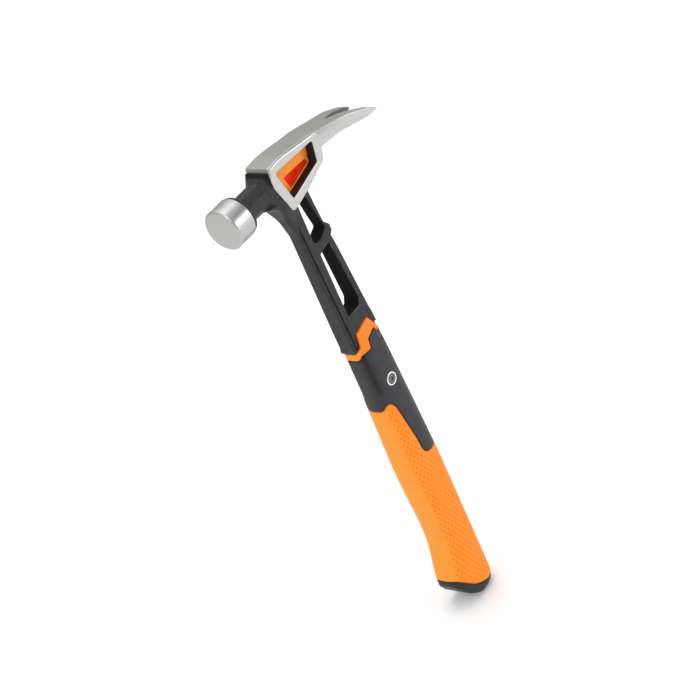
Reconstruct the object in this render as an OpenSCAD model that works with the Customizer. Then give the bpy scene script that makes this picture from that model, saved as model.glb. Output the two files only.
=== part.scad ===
// Claw hammer with an isolated forged head and a two-part moulded handle.
// Frame: millimetres, +Z up along the handle, origin under the handle's axis at the butt.
// The strike face looks along -X, the claw points along +X, and Y is the hammer's width.

/* [Head] */
// Height of the crown of the head above the butt
head_top_z = 342; // [340:0.5:345]
// Height of the bell's axis above the butt
bell_z = 326.8; // [325:0.2:329]
// Distance of the strike face in front of the handle's axis
face_x = 61; // [58:0.5:64]
// Diameter of the bell
bell_d = 26.8; // [25:0.2:29]
// Length of the bell, face to rear rim
bell_len = 14.5; // [12:0.5:16]
// Chamfer round the strike face
face_chamfer = 1; // [0.5:0.1:1.5]
// Width of the head across the cheeks
cheek_w = 20; // [18:0.5:22]
// Distance of the claw tips behind the handle's axis
claw_tip_x = 77.5; // [74:0.5:82]
// Width across the two claw tips
claw_tip_w = 26.6; // [25:0.2:28]
// Distance of the nail notch's root behind the handle's axis
notch_root_x = 45; // [42:0.5:50]
// Clear width of the nail notch at the claw tips
notch_tip_w = 18.4; // [15:0.2:19]
// Width across the flats of the octagonal neck
neck_af = 16.6; // [15:0.2:18]

/* [Shank] */
// Distance of the shank's front face from the handle's axis
shank_front_x = 14; // [13.5:0.1:14.2]
// Width of the shank just under the head
shank_top_w = 9.6; // [9:0.2:11]
// Width of the shank where it enters the collar
shank_low_w = 13.4; // [12.8:0.2:13.8]
// Depth of the tang inside the handle
tang_d = 16; // [14:0.5:17]
// Width of the tang inside the handle
tang_w = 8; // [6:0.5:8.5]
// Height of the tang's lower end above the butt
tang_end_z = 78; // [70:1:100]

/* [Insert] */
// Thickness of the insert in the head's window
insert_t = 7.4; // [5:0.2:9]
// Depth of the pocket in each face of the insert
insert_pocket = 2.2; // [1:0.1:2.4]

/* [Handle] */
// Wall of the isolating sleeve round the tang
sleeve_wall = 1.6; // [1:0.1:2]
// Thickness of the soft grip over the core
grip_t = 2.6; // [2:0.1:3.2]
// Length of the end cap's spigot inside the core
spigot_len = 16; // [10:1:24]

/* [Bolt] */
// Height of the handle bolt above the butt
bolt_z = 173; // [168:0.5:178]
// Diameter of the bolt's head
bolt_head_d = 6.2; // [5.8:0.1:6.6]
// Diameter of the barrel that the bolt screws into
barrel_d = 5; // [4.6:0.1:5.2]
// Diameter of the bolt's thread
bolt_d = 3; // [2.5:0.1:3.4]
// Outer diameter of the bright cup washers
washer_d = 9; // [8.4:0.1:9.6]
// Outer diameter of the rubber bush in the tang
bush_d = 9; // [8:0.1:9.6]
// Hexagon socket in the bolt and the barrel nut, across the flats
hex_af = 2.5; // [2:0.5:3]

/* [Hidden] */
$fn = 64;
far = 60;                      // reach of a cutter, well past the part

// Head
cheek_rear_x = 24;
claw_root_w = 18;
front_skin = 0.8;              // black front of the head, part of the shank
neck_start_x = face_x - bell_len;
shoulder_len = 4;              // rounded shoulder behind the bell
rim_break = 0.6;               // broken edge at the bell's rear rim
neck_r = neck_af / 2 / cos(22.5);
flare_x = 26;                  // where the neck starts to widen into the head
flare_inset = 0.06;            // its first slice, inside the neck's faces
flare_w = 18.8;
flare_low_z = 313;
flare_h = 26;
body_w = 17;                   // width of the coated body below the cheeks
body_low_z = 312;
waist_z = 299;

// Shank and tang
shoulder_z = 215;
web_low_z = 271;
web_top_z = 279;
tang_x = -0.8;                 // centre of the tang
groove_r = 0.9;
groove_back = 1.4;             // distance of each groove behind the shank's front face

// Handle: stations are [height, value] pairs that lookup() joins
front_at = [[0, 20], [4, 22], [12, 22.6], [25, 22.2], [33, 19.7], [42, 17], [52, 15.3], [64, 14.8],
            [80, 15.4], [105, 16], [130, 15.3], [160, 14], [220, 13.8]];
back_at = [[0, 9.6], [2, 11.6], [5, 13], [10, 13.8], [60, 14.1], [100, 14.5], [140, 14], [180, 13.2],
           [205, 12.8], [220, 12.2]];
side_at = [[0, 7.6], [2, 9.6], [5, 11.2], [10, 12.2], [25, 12.5], [60, 12.2], [105, 12.6], [150, 11.5],
           [190, 10.8], [204, 9.8], [217, 7]];
handle_top_z = 217;
squareness = 2.8;              // exponent of the handle's superellipse
sector = 10;                   // degrees between the handle's edges

flute_x = 11.8;
flute_r = 4.6;
flute_low_z = 172;             // below here each flute leans out and fades
flute_fade = 22;
flute_lean = 4;
pad_h = 5;                     // rubber pad under the end of the tang
spigot = [18, 12];             // end cap's spigot, depth and width
spigot_wall = 2;
spigot_gap = 0.4;              // left above the spigot

// Handle bolt
washer_h = 1.4;
head_h = 0.8;
seat_h = 0.5;                  // bottom of the cup under each head
thread_past = 4;               // reach of the bolt's thread past the middle
bolt_half = lookup(bolt_z, side_at);
seat_y = bolt_half - washer_h + seat_h;
flute_y = bolt_half + 1.4;     // centre of each flute

// Corners of an outline, each [x, z, radius], with every radius drawn as an arc of n steps
function unit(v) = v / norm(v);
function corner(p, q, r, n) =
    let(a = unit([p[0] - q[0], p[1] - q[1]]), b = unit([r[0] - q[0], r[1] - q[1]]),
        half = acos(max(-1, min(1, a * b))) / 2, reach = q[2] / tan(half),
        mid = [q[0], q[1]] + unit(a + b) * q[2] / sin(half),
        s = [q[0], q[1]] + a * reach - mid, e = [q[0], q[1]] + b * reach - mid,
        a0 = atan2(s[1], s[0]), turn = atan2(s[0] * e[1] - s[1] * e[0], s * e))
    [for (i = [0 : n]) mid + q[2] * [cos(a0 + turn * i / n), sin(a0 + turn * i / n)]];
function outline(pts, n = 6) =
    let(c = len(pts))
    [for (i = [0 : c - 1])
        each (pts[i][2] == 0 ? [[pts[i][0], pts[i][1]]]
              : corner(pts[(i + c - 1) % c], pts[i], pts[(i + 1) % c], n))];

// A side view, drawn in X and Z, through the whole width of the part
module side_view(pts, w = 2 * far) {
    rotate([90, 0, 0]) linear_extrude(w, center = true) polygon(outline(pts));
}

// A front view, drawn in Y and Z and mirrored left to right, from half widths [z, half]
module front_view(halves) {
    right = [for (h = halves) [h[1], h[0]]];
    left = [for (i = [len(halves) - 1 : -1 : 0]) [-halves[i][1], halves[i][0]]];
    rotate([90, 0, 90]) linear_extrude(4 * far, center = true) polygon(concat(right, left));
}

// ---------------------------------------------------------------- forging
// Side view of the bare part of the head
head_side = [
    [-18.4, head_top_z - 0.7, 1], [-21.2, 332, 4], [-21, 328, 6], [-13.6, 308.2, 2],
    [-9.6, 308.6, 2], [5, 312.4, 10], [24, 319, 4], [27.2, 325.8, 1.5], [45, 324.6, 30],
    [68, 320, 10], [claw_tip_x - 1, 319.8, 0.4], [claw_tip_x, 320.8, 0.4], [72, 324.4, 20], [58, 330.3, 60],
    [24, 338, 60], [-6, head_top_z, 60]];
window_side = [[-15, 335.6, 1.6], [-9.7, 314.5, 1.6], [18.6, 321.3, 1.2], [21.5, 334.3, 1.6]];
head_plan = [
    [-30, cheek_w / 2], [cheek_rear_x, cheek_w / 2], [cheek_rear_x + 3.6, claw_root_w / 2],
    [44, claw_root_w / 2 + 0.7], [claw_tip_x + 1, claw_tip_w / 2]];

module head_blank() {
    intersection() {
        side_view(head_side);
        linear_extrude(400)
            polygon(concat(head_plan, [for (i = [1 : len(head_plan)])
                                       let(p = head_plan[len(head_plan) - i]) [p[0], -p[1]]]));
    }
}

module nail_notch() {
    linear_extrude(400)
        polygon(outline([[notch_root_x, 0, 0], [claw_tip_x + 0.05, -notch_tip_w / 2, 0],
                         [claw_tip_x + far, -notch_tip_w / 2, 0], [claw_tip_x + far, notch_tip_w / 2, 0],
                         [claw_tip_x + 0.05, notch_tip_w / 2, 0]]));
}

// The slice of the head's front that carries the black coating
module head_front() {
    intersection() {
        head_blank();
        side_view([[-18.4 - far, 345, 0], [-18.4 + front_skin, 345, 0], [-21.2 + front_skin, 332, 4],
                   [-21 + front_skin, 328, 6], [-13.6, 306.8, 0], [-far, 300, 0]]);
    }
}

module claw_head() {
    color("silver")
        difference() {
            head_blank();
            head_front();
            side_view(window_side);
            nail_notch();
        }
}

module striking_bell() {
    color("gainsboro")
        translate([-face_x, 0, bell_z]) rotate([0, 90, 0])
            rotate_extrude()
                polygon([[0, 0], [bell_d / 2 - face_chamfer, 0], [bell_d / 2, face_chamfer],
                         [bell_d / 2, bell_len - rim_break], [bell_d / 2 - rim_break, bell_len],
                         [0, bell_len]]);
}

// Octagonal neck with its rounded shoulder at the bell and its flare into the head
module neck() {
    translate([-neck_start_x, 0, bell_z]) rotate([0, 90, 0]) {
        rotate_extrude()
            polygon(outline([[0, 0, 0], [bell_d / 2 - rim_break, 0, 0],
                             [bell_d / 2 - rim_break, shoulder_len / 2, 1.8],
                             [neck_r + 0.2, shoulder_len, 0], [0, shoulder_len, 0]]));
        rotate([0, 0, 22.5]) cylinder(h = neck_start_x - 19, r = neck_r, $fn = 8);
    }
    hull() {
        translate([-flare_x, 0, bell_z]) rotate([0, 90, 0]) rotate([0, 0, 22.5])
            cylinder(h = 1, r = neck_r - flare_inset, $fn = 8);
        translate([-20.4, -flare_w / 2, flare_low_z]) cube([1, flare_w, flare_h]);
    }
}

// Where the shank meets the collar, front to back
shoulder_edge = [[-shank_front_x, 201.2, 0], [-10.6, 204.3, 1], [-8.2, 213.2, 1.5], [1, 215.5, 6],
                 [5.8, 216.3, 0.8], [9, 209.6, 1], [12.2, 208.6, 0]];
// Side view of the two bars, their cross web and knuckle, and the shoulder at the collar
shank_side = concat(
    [[-13, 300, 0], [-shank_front_x, 289, 6]], shoulder_edge,
    [[9.6, web_low_z - 3, 0], [8.9, 275.3, 0.6], [11.2, 277.2, 1], [11.5, 281.4, 1.8], [8, 285.4, 2],
     [6.9, 318, 0], [-13, 318, 0]]);
// Side view of the coated body under the cheeks, with the throat below the neck
body_side = [
    [-19.5, 338, 0], [-20.5, 320, 0], [-29.6, bell_z - neck_af / 2, 0], [-21.4, 314, 8], [-17.6, 304, 20],
    [-shank_front_x, 289, 20], [-shank_front_x, 284, 0], [-5, 290, 0], [-4.6, 316, 0], [-6, 338, 0]];
upper_window = [[-4.6, 309.5, 0], [-6.2, web_top_z - 1, 3], [0.6, web_top_z - 0.6, 3.2], [7.8, 283.6, 0.8],
                [4.6, 293.5, 10], [2.8, 309.5, 0]];
lower_window = [[-5.2, web_low_z - 0.4, 1], [-6.6, 225.2, 1], [4.6, 225.6, 1.4], [7, 230, 1.6],
                [4.6, web_low_z + 1.6, 0.8]];

module shank() {
    color([0.16, 0.16, 0.17])
        difference() {
            union() {
                difference() {
                    union() {
                        intersection() {
                            side_view(shank_side);
                            front_view([[200, shank_low_w / 2], [shoulder_z, shank_low_w / 2],
                                        [waist_z, shank_top_w / 2], [345, shank_top_w / 2]]);
                        }
                        intersection() {
                            side_view(body_side);
                            front_view([[280, shank_top_w / 2], [waist_z, shank_top_w / 2],
                                        [body_low_z, body_w / 2], [345, body_w / 2]]);
                        }
                        neck();
                    }
                    head_blank();
                }
                head_front();
            }
            side_view(window_side);
            side_view(upper_window);
            side_view(lower_window);
            edge_grooves();
        }
    color([0.16, 0.16, 0.17]) tang();
}

// A shallow groove down each side of the shank, just behind its front rail
module edge_grooves() {
    lean = atan((shank_low_w - shank_top_w) / 2 / (waist_z - shoulder_z));
    for (s = [-1, 1])
        translate([-shank_front_x + groove_back, s * (shank_low_w / 2 + 0.35), shoulder_z])
            rotate([s * lean, 0, 0]) translate([0, 0, -20])
                cylinder(h = waist_z - shoulder_z + 16, r = groove_r, $fn = 24);
}

module tang() {
    difference() {
        translate([tang_x - tang_d / 2, -tang_w / 2, tang_end_z])
            cube([tang_d, tang_w, shoulder_z - 4 - tang_end_z]);
        side_view(shank_side);
        bush_hole();
    }
}

module bush_hole() {
    translate([0, 0, bolt_z]) rotate([90, 0, 0]) cylinder(h = far, d = bush_d, center = true);
}

// ---------------------------------------------------------------- insert
insert_pocket_side = [[-5.4, 325.8, 0.8], [-3, 317, 0.9], [16.8, 321.9, 0.7], [16.4, 325, 0.6]];

module window_insert() {
    color("orange")
        difference() {
            side_view(window_side, insert_t);
            for (s = [-1, 1])
                translate([0, s * (insert_t / 2 + 5 - insert_pocket), 0]) side_view(insert_pocket_side, 10);
            side_view([[18.6, 325.4, 0], [26, 325.4, 0], [26, 315, 0], [18.5, 315, 0]], 2 * insert_t);
        }
}

// ---------------------------------------------------------------- handle
function power(v, p) = sign(v) * pow(abs(v), p);
function ring_at(z, inset) =
    let(f = lookup(z, front_at) - inset, b = lookup(z, back_at) - inset, w = lookup(z, side_at) - inset)
    [for (a = [0 : sector : 359])
        [(b - f) / 2 + (b + f) / 2 * power(cos(a), 2 / squareness), w * power(sin(a), 2 / squareness), z]];

// The handle's outer form between the given heights, shrunk all round by an inset
module handle_form(heights, inset = 0) {
    rings = [for (z = heights) ring_at(z, inset)];
    n = len(rings[0]);
    m = len(rings);
    walls = [for (i = [0 : m - 2], j = [0 : n - 1])
                each [[i * n + j, i * n + n + j, i * n + (j + 1) % n],
                      [i * n + (j + 1) % n, i * n + n + j, i * n + n + (j + 1) % n]]];
    foot = [for (j = [0 : n - 1]) j];
    top = [for (j = [n - 1 : -1 : 0]) (m - 1) * n + j];
    polyhedron([for (r = rings) each r], concat(walls, [foot, top]), convexity = 4);
}

form_heights = [0, 2, 5, 10, 25, 33, 42, 52, 64, 80, 105, 130, 160, 190, 204, handle_top_z];
core_heights = [20, 33, 42, 52, 64, 80, 105, 130, 160, 175];

// Side views that divide the handle's outer form
collar_edge = [[-20, 195.8, 0], [-13, 195.8, 2], [-9, 199, 2], [-3.9, 199.4, 1.5], [-2.6, 205.4, 1.2],
               [5.6, 208, 0.8], [8.4, 203.2, 0.6], [11.5, 206.8, 1], [20, 206.8, 0]];
grip_edge = [[-20, 156.4, 0], [-13.6, 156.4, 3], [-10.4, 163.2, 2.6], [-6.2, 156, 6], [-2.4, 128, 20],
             [-1.6, 114.8, 6], [6, 114, 4], [20, 114, 0]];
cap_edge = [[-30, 23.4, 0], [-21, 23.4, 6], [-8, 10.6, 30], [3, 6, 20], [20, 4.4, 0]];
butt_edge = [[-30, 22, 0], [-22, 19, 2], [-16, 9, 14], [-5, 0, 8], [6, 0, 8], [16, 4.4, 0]];

module below(edge) {
    side_view(concat(edge, [[far, edge[len(edge) - 1][1], 0], [far, -far, 0], [-far, -far, 0],
                            [-far, edge[0][1], 0]]));
}

module sleeve_space() {
    translate([tang_x - tang_d / 2 - sleeve_wall, -tang_w / 2 - sleeve_wall, tang_end_z - pad_h])
        cube([tang_d + 2 * sleeve_wall, tang_w + 2 * sleeve_wall, handle_top_z - tang_end_z]);
}

module isolating_sleeve() {
    color("orange")
        difference() {
            union() {
                difference() {
                    handle_form([for (z = form_heights) if (z > 150) z]);
                    below(collar_edge);
                    side_view(concat([[-20, shoulder_edge[0][1], 0]], shoulder_edge,
                                     [[20, 208.6, 0], [20, 240, 0], [-20, 240, 0]]));
                }
                intersection() {
                    translate([0, 0, pad_h]) sleeve_space();
                    below(collar_edge);
                }
            }
            translate([tang_x - tang_d / 2, -tang_w / 2, tang_end_z - 10]) cube([tang_d, tang_w, 200]);
            bush_hole();
        }
}

module tang_end_pad() {
    color("orange")
        translate([tang_x - tang_d / 2 - sleeve_wall, -tang_w / 2 - sleeve_wall, tang_end_z - pad_h])
            cube([tang_d + 2 * sleeve_wall, tang_w + 2 * sleeve_wall, pad_h]);
}

module bolt_seats() {
    for (side = [-1, 1])
        at_bolt(side) {
            cylinder(h = far, d = barrel_d);
            translate([0, 0, bolt_half - washer_h]) cylinder(h = far, d = washer_d);
        }
}

module flutes() {
    for (s = [-1, 1])
        translate([-flute_x, s * flute_y, flute_low_z]) {
            cylinder(h = 40, r = flute_r, $fn = 32);
            rotate([s * flute_lean, 0, 0]) translate([0, 0, -flute_fade])
                cylinder(h = flute_fade, r = flute_r, $fn = 32);
        }
}

module handle_core() {
    color([0.2, 0.2, 0.21])
        difference() {
            union() {
                difference() {
                    intersection() {
                        handle_form(form_heights);
                        below(collar_edge);
                    }
                    below(grip_edge);
                    flutes();
                }
                handle_form(core_heights, grip_t);
            }
            sleeve_space();
            translate([-spigot[0] / 2, -spigot[1] / 2, 0]) cube([spigot[0], spigot[1], 20 + spigot_len]);
            below(cap_edge);
            bolt_seats();
        }
}

module grip() {
    color("darkorange")
        difference() {
            intersection() {
                handle_form([for (z = form_heights) if (z < 180) z]);
                below(grip_edge);
            }
            below(cap_edge);
            handle_form(core_heights, grip_t);
        }
}

module end_cap() {
    color([0.14, 0.15, 0.16]) {
        intersection() {
            handle_form([for (z = form_heights) if (z < 60) z]);
            below(cap_edge);
            side_view(concat(butt_edge, [[16, 60, 0], [-30, 60, 0]]));
        }
        difference() {
            translate([-spigot[0] / 2, -spigot[1] / 2, 3])
                cube([spigot[0], spigot[1], 17 + spigot_len - spigot_gap]);
            translate([spigot_wall - spigot[0] / 2, spigot_wall - spigot[1] / 2, 20])
                cube([spigot[0] - 2 * spigot_wall, spigot[1] - 2 * spigot_wall, far]);
            below(cap_edge);
        }
    }
}

// ---------------------------------------------------------------- handle bolt
module at_bolt(side) {
    translate([0, 0, bolt_z]) rotate([side * 90, 0, 0]) children();
}

module socket_head() {
    difference() {
        cylinder(h = head_h, d = bolt_head_d);
        translate([0, 0, 0.15]) cylinder(h = head_h, d = hex_af / cos(30), $fn = 6);
    }
}

module handle_bolt() {
    color("dimgray") at_bolt(1) {
        translate([0, 0, seat_y]) socket_head();
        translate([0, 0, -thread_past]) cylinder(h = seat_y + thread_past, d = bolt_d);
    }
}

module barrel_nut() {
    color("dimgray") at_bolt(-1) {
        translate([0, 0, seat_y]) socket_head();
        difference() {
            translate([0, 0, -seat_y + 0.5]) cylinder(h = 2 * seat_y - 0.5, d = barrel_d);
            translate([0, 0, -far]) cylinder(h = far + thread_past + 1, d = bolt_d);
        }
    }
}

module cup_washers() {
    color("gainsboro")
        for (side = [-1, 1])
            at_bolt(side)
                difference() {
                    translate([0, 0, bolt_half - washer_h]) cylinder(h = washer_h, d = washer_d);
                    translate([0, 0, seat_y]) cylinder(h = washer_h, d = bolt_head_d + 0.1);
                    cylinder(h = far, d = barrel_d + 0.1);
                }
}

module bolt_bush() {
    color([0.1, 0.1, 0.1]) at_bolt(1)
        difference() {
            cylinder(h = tang_w + 2 * sleeve_wall, d = bush_d, center = true);
            cylinder(h = far, d = barrel_d, center = true);
        }
}

claw_head();
striking_bell();
shank();
window_insert();
isolating_sleeve();
tang_end_pad();
handle_core();
grip();
end_cap();
handle_bolt();
barrel_nut();
cup_washers();
bolt_bush();
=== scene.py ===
"""A rip claw hammer: forged head with a framed window, openwork shank, rubber collar and a two-part handle.

Every piece is built in millimetres in the CAD model's frame and turned to metres when its mesh is made.
"""

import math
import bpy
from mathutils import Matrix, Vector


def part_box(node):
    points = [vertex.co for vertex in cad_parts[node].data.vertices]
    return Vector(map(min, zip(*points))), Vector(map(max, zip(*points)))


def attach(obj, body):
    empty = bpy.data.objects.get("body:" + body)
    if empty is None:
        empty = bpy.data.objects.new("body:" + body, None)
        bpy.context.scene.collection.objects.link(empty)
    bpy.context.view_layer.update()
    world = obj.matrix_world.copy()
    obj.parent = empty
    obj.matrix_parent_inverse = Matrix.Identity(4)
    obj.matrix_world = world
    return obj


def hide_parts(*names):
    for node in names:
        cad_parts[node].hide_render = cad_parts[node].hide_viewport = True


bl_info = {
    "name": "Claw Hammer",
    "version": (1, 0, 0),
    "blender": (4, 5, 0),
    "location": "View3D > Sidebar > Hammer",
    "description": "Builds a rip claw hammer, piece by piece, around its CAD model",
    "category": "Object",
}

import bmesh
import bpy
import numpy as np
from bpy.props import FloatProperty, FloatVectorProperty, PointerProperty
from mathutils import Matrix, Vector
from mathutils.geometry import delaunay_2d_cdt

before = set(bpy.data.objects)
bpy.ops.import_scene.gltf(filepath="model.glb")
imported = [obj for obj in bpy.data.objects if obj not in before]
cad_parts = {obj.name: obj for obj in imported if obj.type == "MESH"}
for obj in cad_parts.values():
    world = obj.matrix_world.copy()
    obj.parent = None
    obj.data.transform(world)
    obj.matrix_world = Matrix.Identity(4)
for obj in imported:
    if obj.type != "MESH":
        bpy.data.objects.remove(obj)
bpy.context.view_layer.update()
MM = 0.001


def node_box(name):
    """A CAD node's lowest and highest corners, in millimetres."""
    low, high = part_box(name)
    return np.array(low) / MM, np.array(high) / MM


BELL_LOW, BELL_HIGH = node_box("striking_bell")
HEAD_LOW, HEAD_HIGH = node_box("claw_head")
BUSH_LOW, BUSH_HIGH = node_box("bolt_bush")
BELL_Z = (BELL_LOW[2] + BELL_HIGH[2]) / 2
BOLT_Z = (BUSH_LOW[2] + BUSH_HIGH[2]) / 2

# How finely each forged or moulded solid is meshed, in millimetres.
HEAD_STEP, SHANK_STEP, INSERT_STEP = 0.43, 0.5, 0.34
# Where the groove runs down the shank, and where the flute runs down the handle, seen from the side.
GROOVE_AT, FLUTE_AT, FLUTE_HALF_WIDTH = -12.1, -11.6, 4.2
# The dimples stay this far from the grip's edges, and from its front ridge and its back.
DIMPLE_MARGIN, DIMPLE_FRONT, DIMPLE_BACK = 2.6, 8.6, 4

# Side views are [x, z, corner radius]; the plan of the head is [x, y, corner radius].
HEAD_SIDE = [
    [-18.4, 341.3, 1.0], [-21.2, 332, 4], [-21, 328, 6], [-13.6, 308.2, 2], [-9.6, 308.6, 2], [5, 312.4, 10],
    [24, 319, 4], [27.2, 325.8, 1.5], [45, 324.6, 30], [68, 320, 10], [76.5, 319.8, 0.4], [77.5, 320.8, 0.4],
    [72, 324.4, 20], [58, 330.3, 60], [24, 338, 60], [-6, 342, 60]]
HEAD_PLAN = [
    [-30, 10, 0], [24, 10, 2], [27.6, 9, 3], [44, 9.7, 40], [78.5, 13.3, 0],
    [78.5, -13.3, 0], [44, -9.7, 40], [27.6, -9, 3], [24, -10, 2], [-30, -10, 0]]
TOP_PLAN = [[-30, 10, 0], [10, 10.2, 60], [44, 10.8, 60], [78.5, 13.3, 0],
            [78.5, -13.3, 0], [44, -10.8, 60], [10, -10.2, 60], [-30, -10, 0]]
HEAD_FRONT = [
    [-80, 346, 0], [-17.6, 346, 0], [-20.4, 332, 4], [-20.2, 328, 6], [-13.6, 306.8, 0], [-60, 300, 0]]
WINDOW = [[-15, 335.6, 1.6], [-9.7, 314.5, 1.6], [18.6, 321.3, 1.2], [21.5, 334.3, 1.6]]
NOTCH = [[45, 0, 0.8], [77.55, -9.2, 0], [120, -9.2, 0], [120, 9.2, 0], [77.55, 9.2, 0]]
SHOULDER = [
    [-14, 201.2, 0], [-10.6, 204.3, 1], [-8.2, 213.2, 1.5], [1, 215.5, 6], [5.8, 216.3, 0.8], [9, 209.6, 1],
    [12.2, 208.6, 0]]
SHANK_SIDE = [[-13, 300, 0], [-14, 289, 6]] + SHOULDER + [
    [9.6, 268, 0], [8.9, 275.3, 0.6], [11.2, 277.2, 1], [11.5, 281.4, 1.8], [8, 285.4, 2], [6.9, 318, 0],
    [-13, 318, 0]]
BODY_SIDE = [
    [-19.5, 338, 0], [-20.5, 320, 0], [-29.6, 318.5, 0], [-21.4, 314, 8], [-17.6, 304, 20], [-14, 289, 20],
    [-14, 284, 0], [-5, 290, 0], [-4.6, 316, 0], [-6, 338, 0]]
UPPER_WINDOW = [
    [-4.6, 309.5, 0], [-6.2, 278, 3], [0.6, 278.4, 3.2], [7.3, 282, 0.8], [5.2, 293.5, 10], [2.8, 309.5, 0]]
LOWER_WINDOW = [[-5.2, 270.6, 1], [-6.6, 225.2, 1], [4.6, 225.6, 1.4], [7, 230, 1.6], [4.6, 272.6, 0.8]]
POCKET = [[-5.4, 325.8, 0.8], [-3, 317, 0.9], [16.8, 321.9, 0.7], [16.4, 325, 0.6]]
STEP_CUT = [[18.6, 325.4, 0], [40, 325.4, 0], [40, 300, 0], [18.4, 300, 0]]

# Lines that divide the handle, seen from the side, front to back.
COLLAR_LINE = [
    [-20, 195.8, 0], [-13, 195.8, 2], [-9, 199, 2], [-3.9, 199.4, 1.5], [-2.6, 205.4, 1.2], [5.6, 208, 0.8],
    [8.4, 203.2, 0.6], [11.5, 206.8, 1], [20, 206.8, 0]]
GRIP_LINE = [
    [-20, 156.4, 0], [-13.6, 156.4, 3], [-10.4, 163.2, 2.6], [-6.2, 156, 6], [-2.4, 128, 20],
    [-1.6, 114.8, 6], [6, 114, 4], [20, 114, 0]]
CAP_LINE = [[-30, 23.4, 0], [-21, 23.4, 6], [-8, 10.6, 30], [3, 6, 20], [20, 4.4, 0]]
BUTT_LINE = [
    [-30, 22, 0], [-22.4, 18.6, 1.5], [-16, 9.2, 14], [-5, 1.2, 8], [0, 0, 8], [5, 0.4, 6],
    [12.5, 3.8, 3], [20, 4, 0]]

# Stations of the handle: height, then the distance to its surface in front, behind and at each side.
FRONT_AT = [[0, 22.4], [12, 22.6], [25, 22.2], [33, 19.7], [42, 17], [52, 15.3], [64, 14.8], [80, 15.4],
            [105, 16], [130, 15.3], [160, 14], [220, 13.8]]
BACK_AT = [[0, 13.8], [60, 14.1], [100, 14.5], [140, 14], [180, 13.2], [205, 12.8], [220, 12.2]]
SIDE_AT = [[0, 12.2], [25, 12.5], [60, 12.2], [105, 12.6], [150, 11.5], [190, 10.8], [204, 9.8], [217, 7]]

# The room's glow from below to above, as (level, strength), in front of the hammer and behind it.
FRONT_GLOW = ((0, 1.0), (0.12, 1.0), (0.3, 0.12), (0.52, 0.14), (0.78, 1.1), (1, 1.0))
REAR_GLOW = ((0, 0.5), (0.2, 0.5), (0.45, 0.9), (0.78, 1.1), (1, 1.0))
# Soft lights: name, place and size in metres, and share of the main light's power.
LIGHTS = (("key_light", (1.3, -2.3, 0.75), (2.2, 0.8), 1.0),
          ("left_light", (-1.8, -0.4, 1.5), (0.8, 1.8), 0.4),
          ("top_light", (0.5, 0.4, 2.5), (1.8, 1.8), 0.7))
LIT_POINT = (0.0, 0.0, 0.2)


# ---------------------------------------------------------------- properties
def length(name, description, default_mm, **more):
    return FloatProperty(name=name, description=description, default=default_mm * MM, unit="LENGTH",
                         precision=4, min=0.0, **more)


def colour(name, description, default):
    return FloatVectorProperty(name=name, description=description, default=default, subtype="COLOR", size=3,
                               min=0.0, max=1.0)


class HammerForging(bpy.types.PropertyGroup):
    """Sizes of the forged steel"""
    bell_diameter: length("Bell diameter", "Diameter of the striking bell", BELL_HIGH[1] - BELL_LOW[1])
    bell_length: length("Bell length", "Length of the bell from its face to its rear rim",
                        BELL_HIGH[0] - BELL_LOW[0])
    face_chamfer: length("Face chamfer", "Chamfer round the striking face", 1.0)
    neck_flats: length("Neck width", "Width of the octagonal neck across its flats", 16.6)
    crown_radius: length("Crown radius", "Rounding between the head's top and its cheeks", 1.9)
    edge_radius: length("Edge radius", "Rounding of the ground edges", 0.55)
    rail_radius: length("Rail radius", "Rounding of the shank's front rail", 2.4)
    groove_radius: length("Groove radius", "Radius of the groove down each side of the shank", 1.0)


class HammerHandle(bpy.types.PropertyGroup):
    """Sizes of the moulded handle"""
    squareness: FloatProperty(name="Squareness", description="Exponent of the handle's oval section",
                              default=2.8, min=2.0, max=4.0)
    grip_thickness: length("Grip thickness", "Thickness of the soft grip over the core", 2.6)
    lip: length("Parting lip", "Rounding of each part's edge where two parts of the handle meet", 0.8)
    flute_depth: length("Flute depth", "Depth of the hollow behind the handle's front ridge", 2.7)
    dimple_pitch: length("Dimple pitch", "Distance between the grip's dimples along a row", 3.0)
    dimple_rows: length("Row spacing", "Distance between rows of dimples", 2.7)
    dimple_radius: length("Dimple radius", "Radius of each dimple", 0.55)
    dimple_depth: length("Dimple depth", "Depth of each dimple", 0.32)


class HammerFasteners(bpy.types.PropertyGroup):
    """Sizes of the handle bolt and its washers"""
    washer_diameter: length("Washer diameter", "Outer diameter of each cup washer", 9.0)
    head_diameter: length("Bolt head", "Diameter of the bolt's head", 6.2)
    socket_flats: length("Socket", "Width of the hexagon socket across its flats", 2.5)


class HammerFinishes(bpy.types.PropertyGroup):
    """Colours of the finishes"""
    steel: colour("Ground steel", "Bare ground steel of the cheeks", (0.52, 0.52, 0.515))
    forged: colour("Forged steel", "Duller steel along the top of the head", (0.4, 0.4, 0.375))
    coating: colour("Black coating", "Baked coating of the shank and neck", (0.03, 0.03, 0.032))
    orange: colour("Grip orange", "Soft rubber of the grip", (0.97, 0.265, 0.014))
    collar: colour("Collar orange", "Isolating rubber of the collar", (0.93, 0.24, 0.01))
    insert: colour("Insert orange", "Raised rim of the window insert", (0.97, 0.3, 0.03))
    pocket: colour("Insert red", "Floor of the insert's pocket", (0.85, 0.02, 0.0))
    shell: colour("Shell black", "Moulded shell of the handle", (0.026, 0.026, 0.029))
    cap: colour("Cap black", "End cap", (0.014, 0.016, 0.018))


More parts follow.
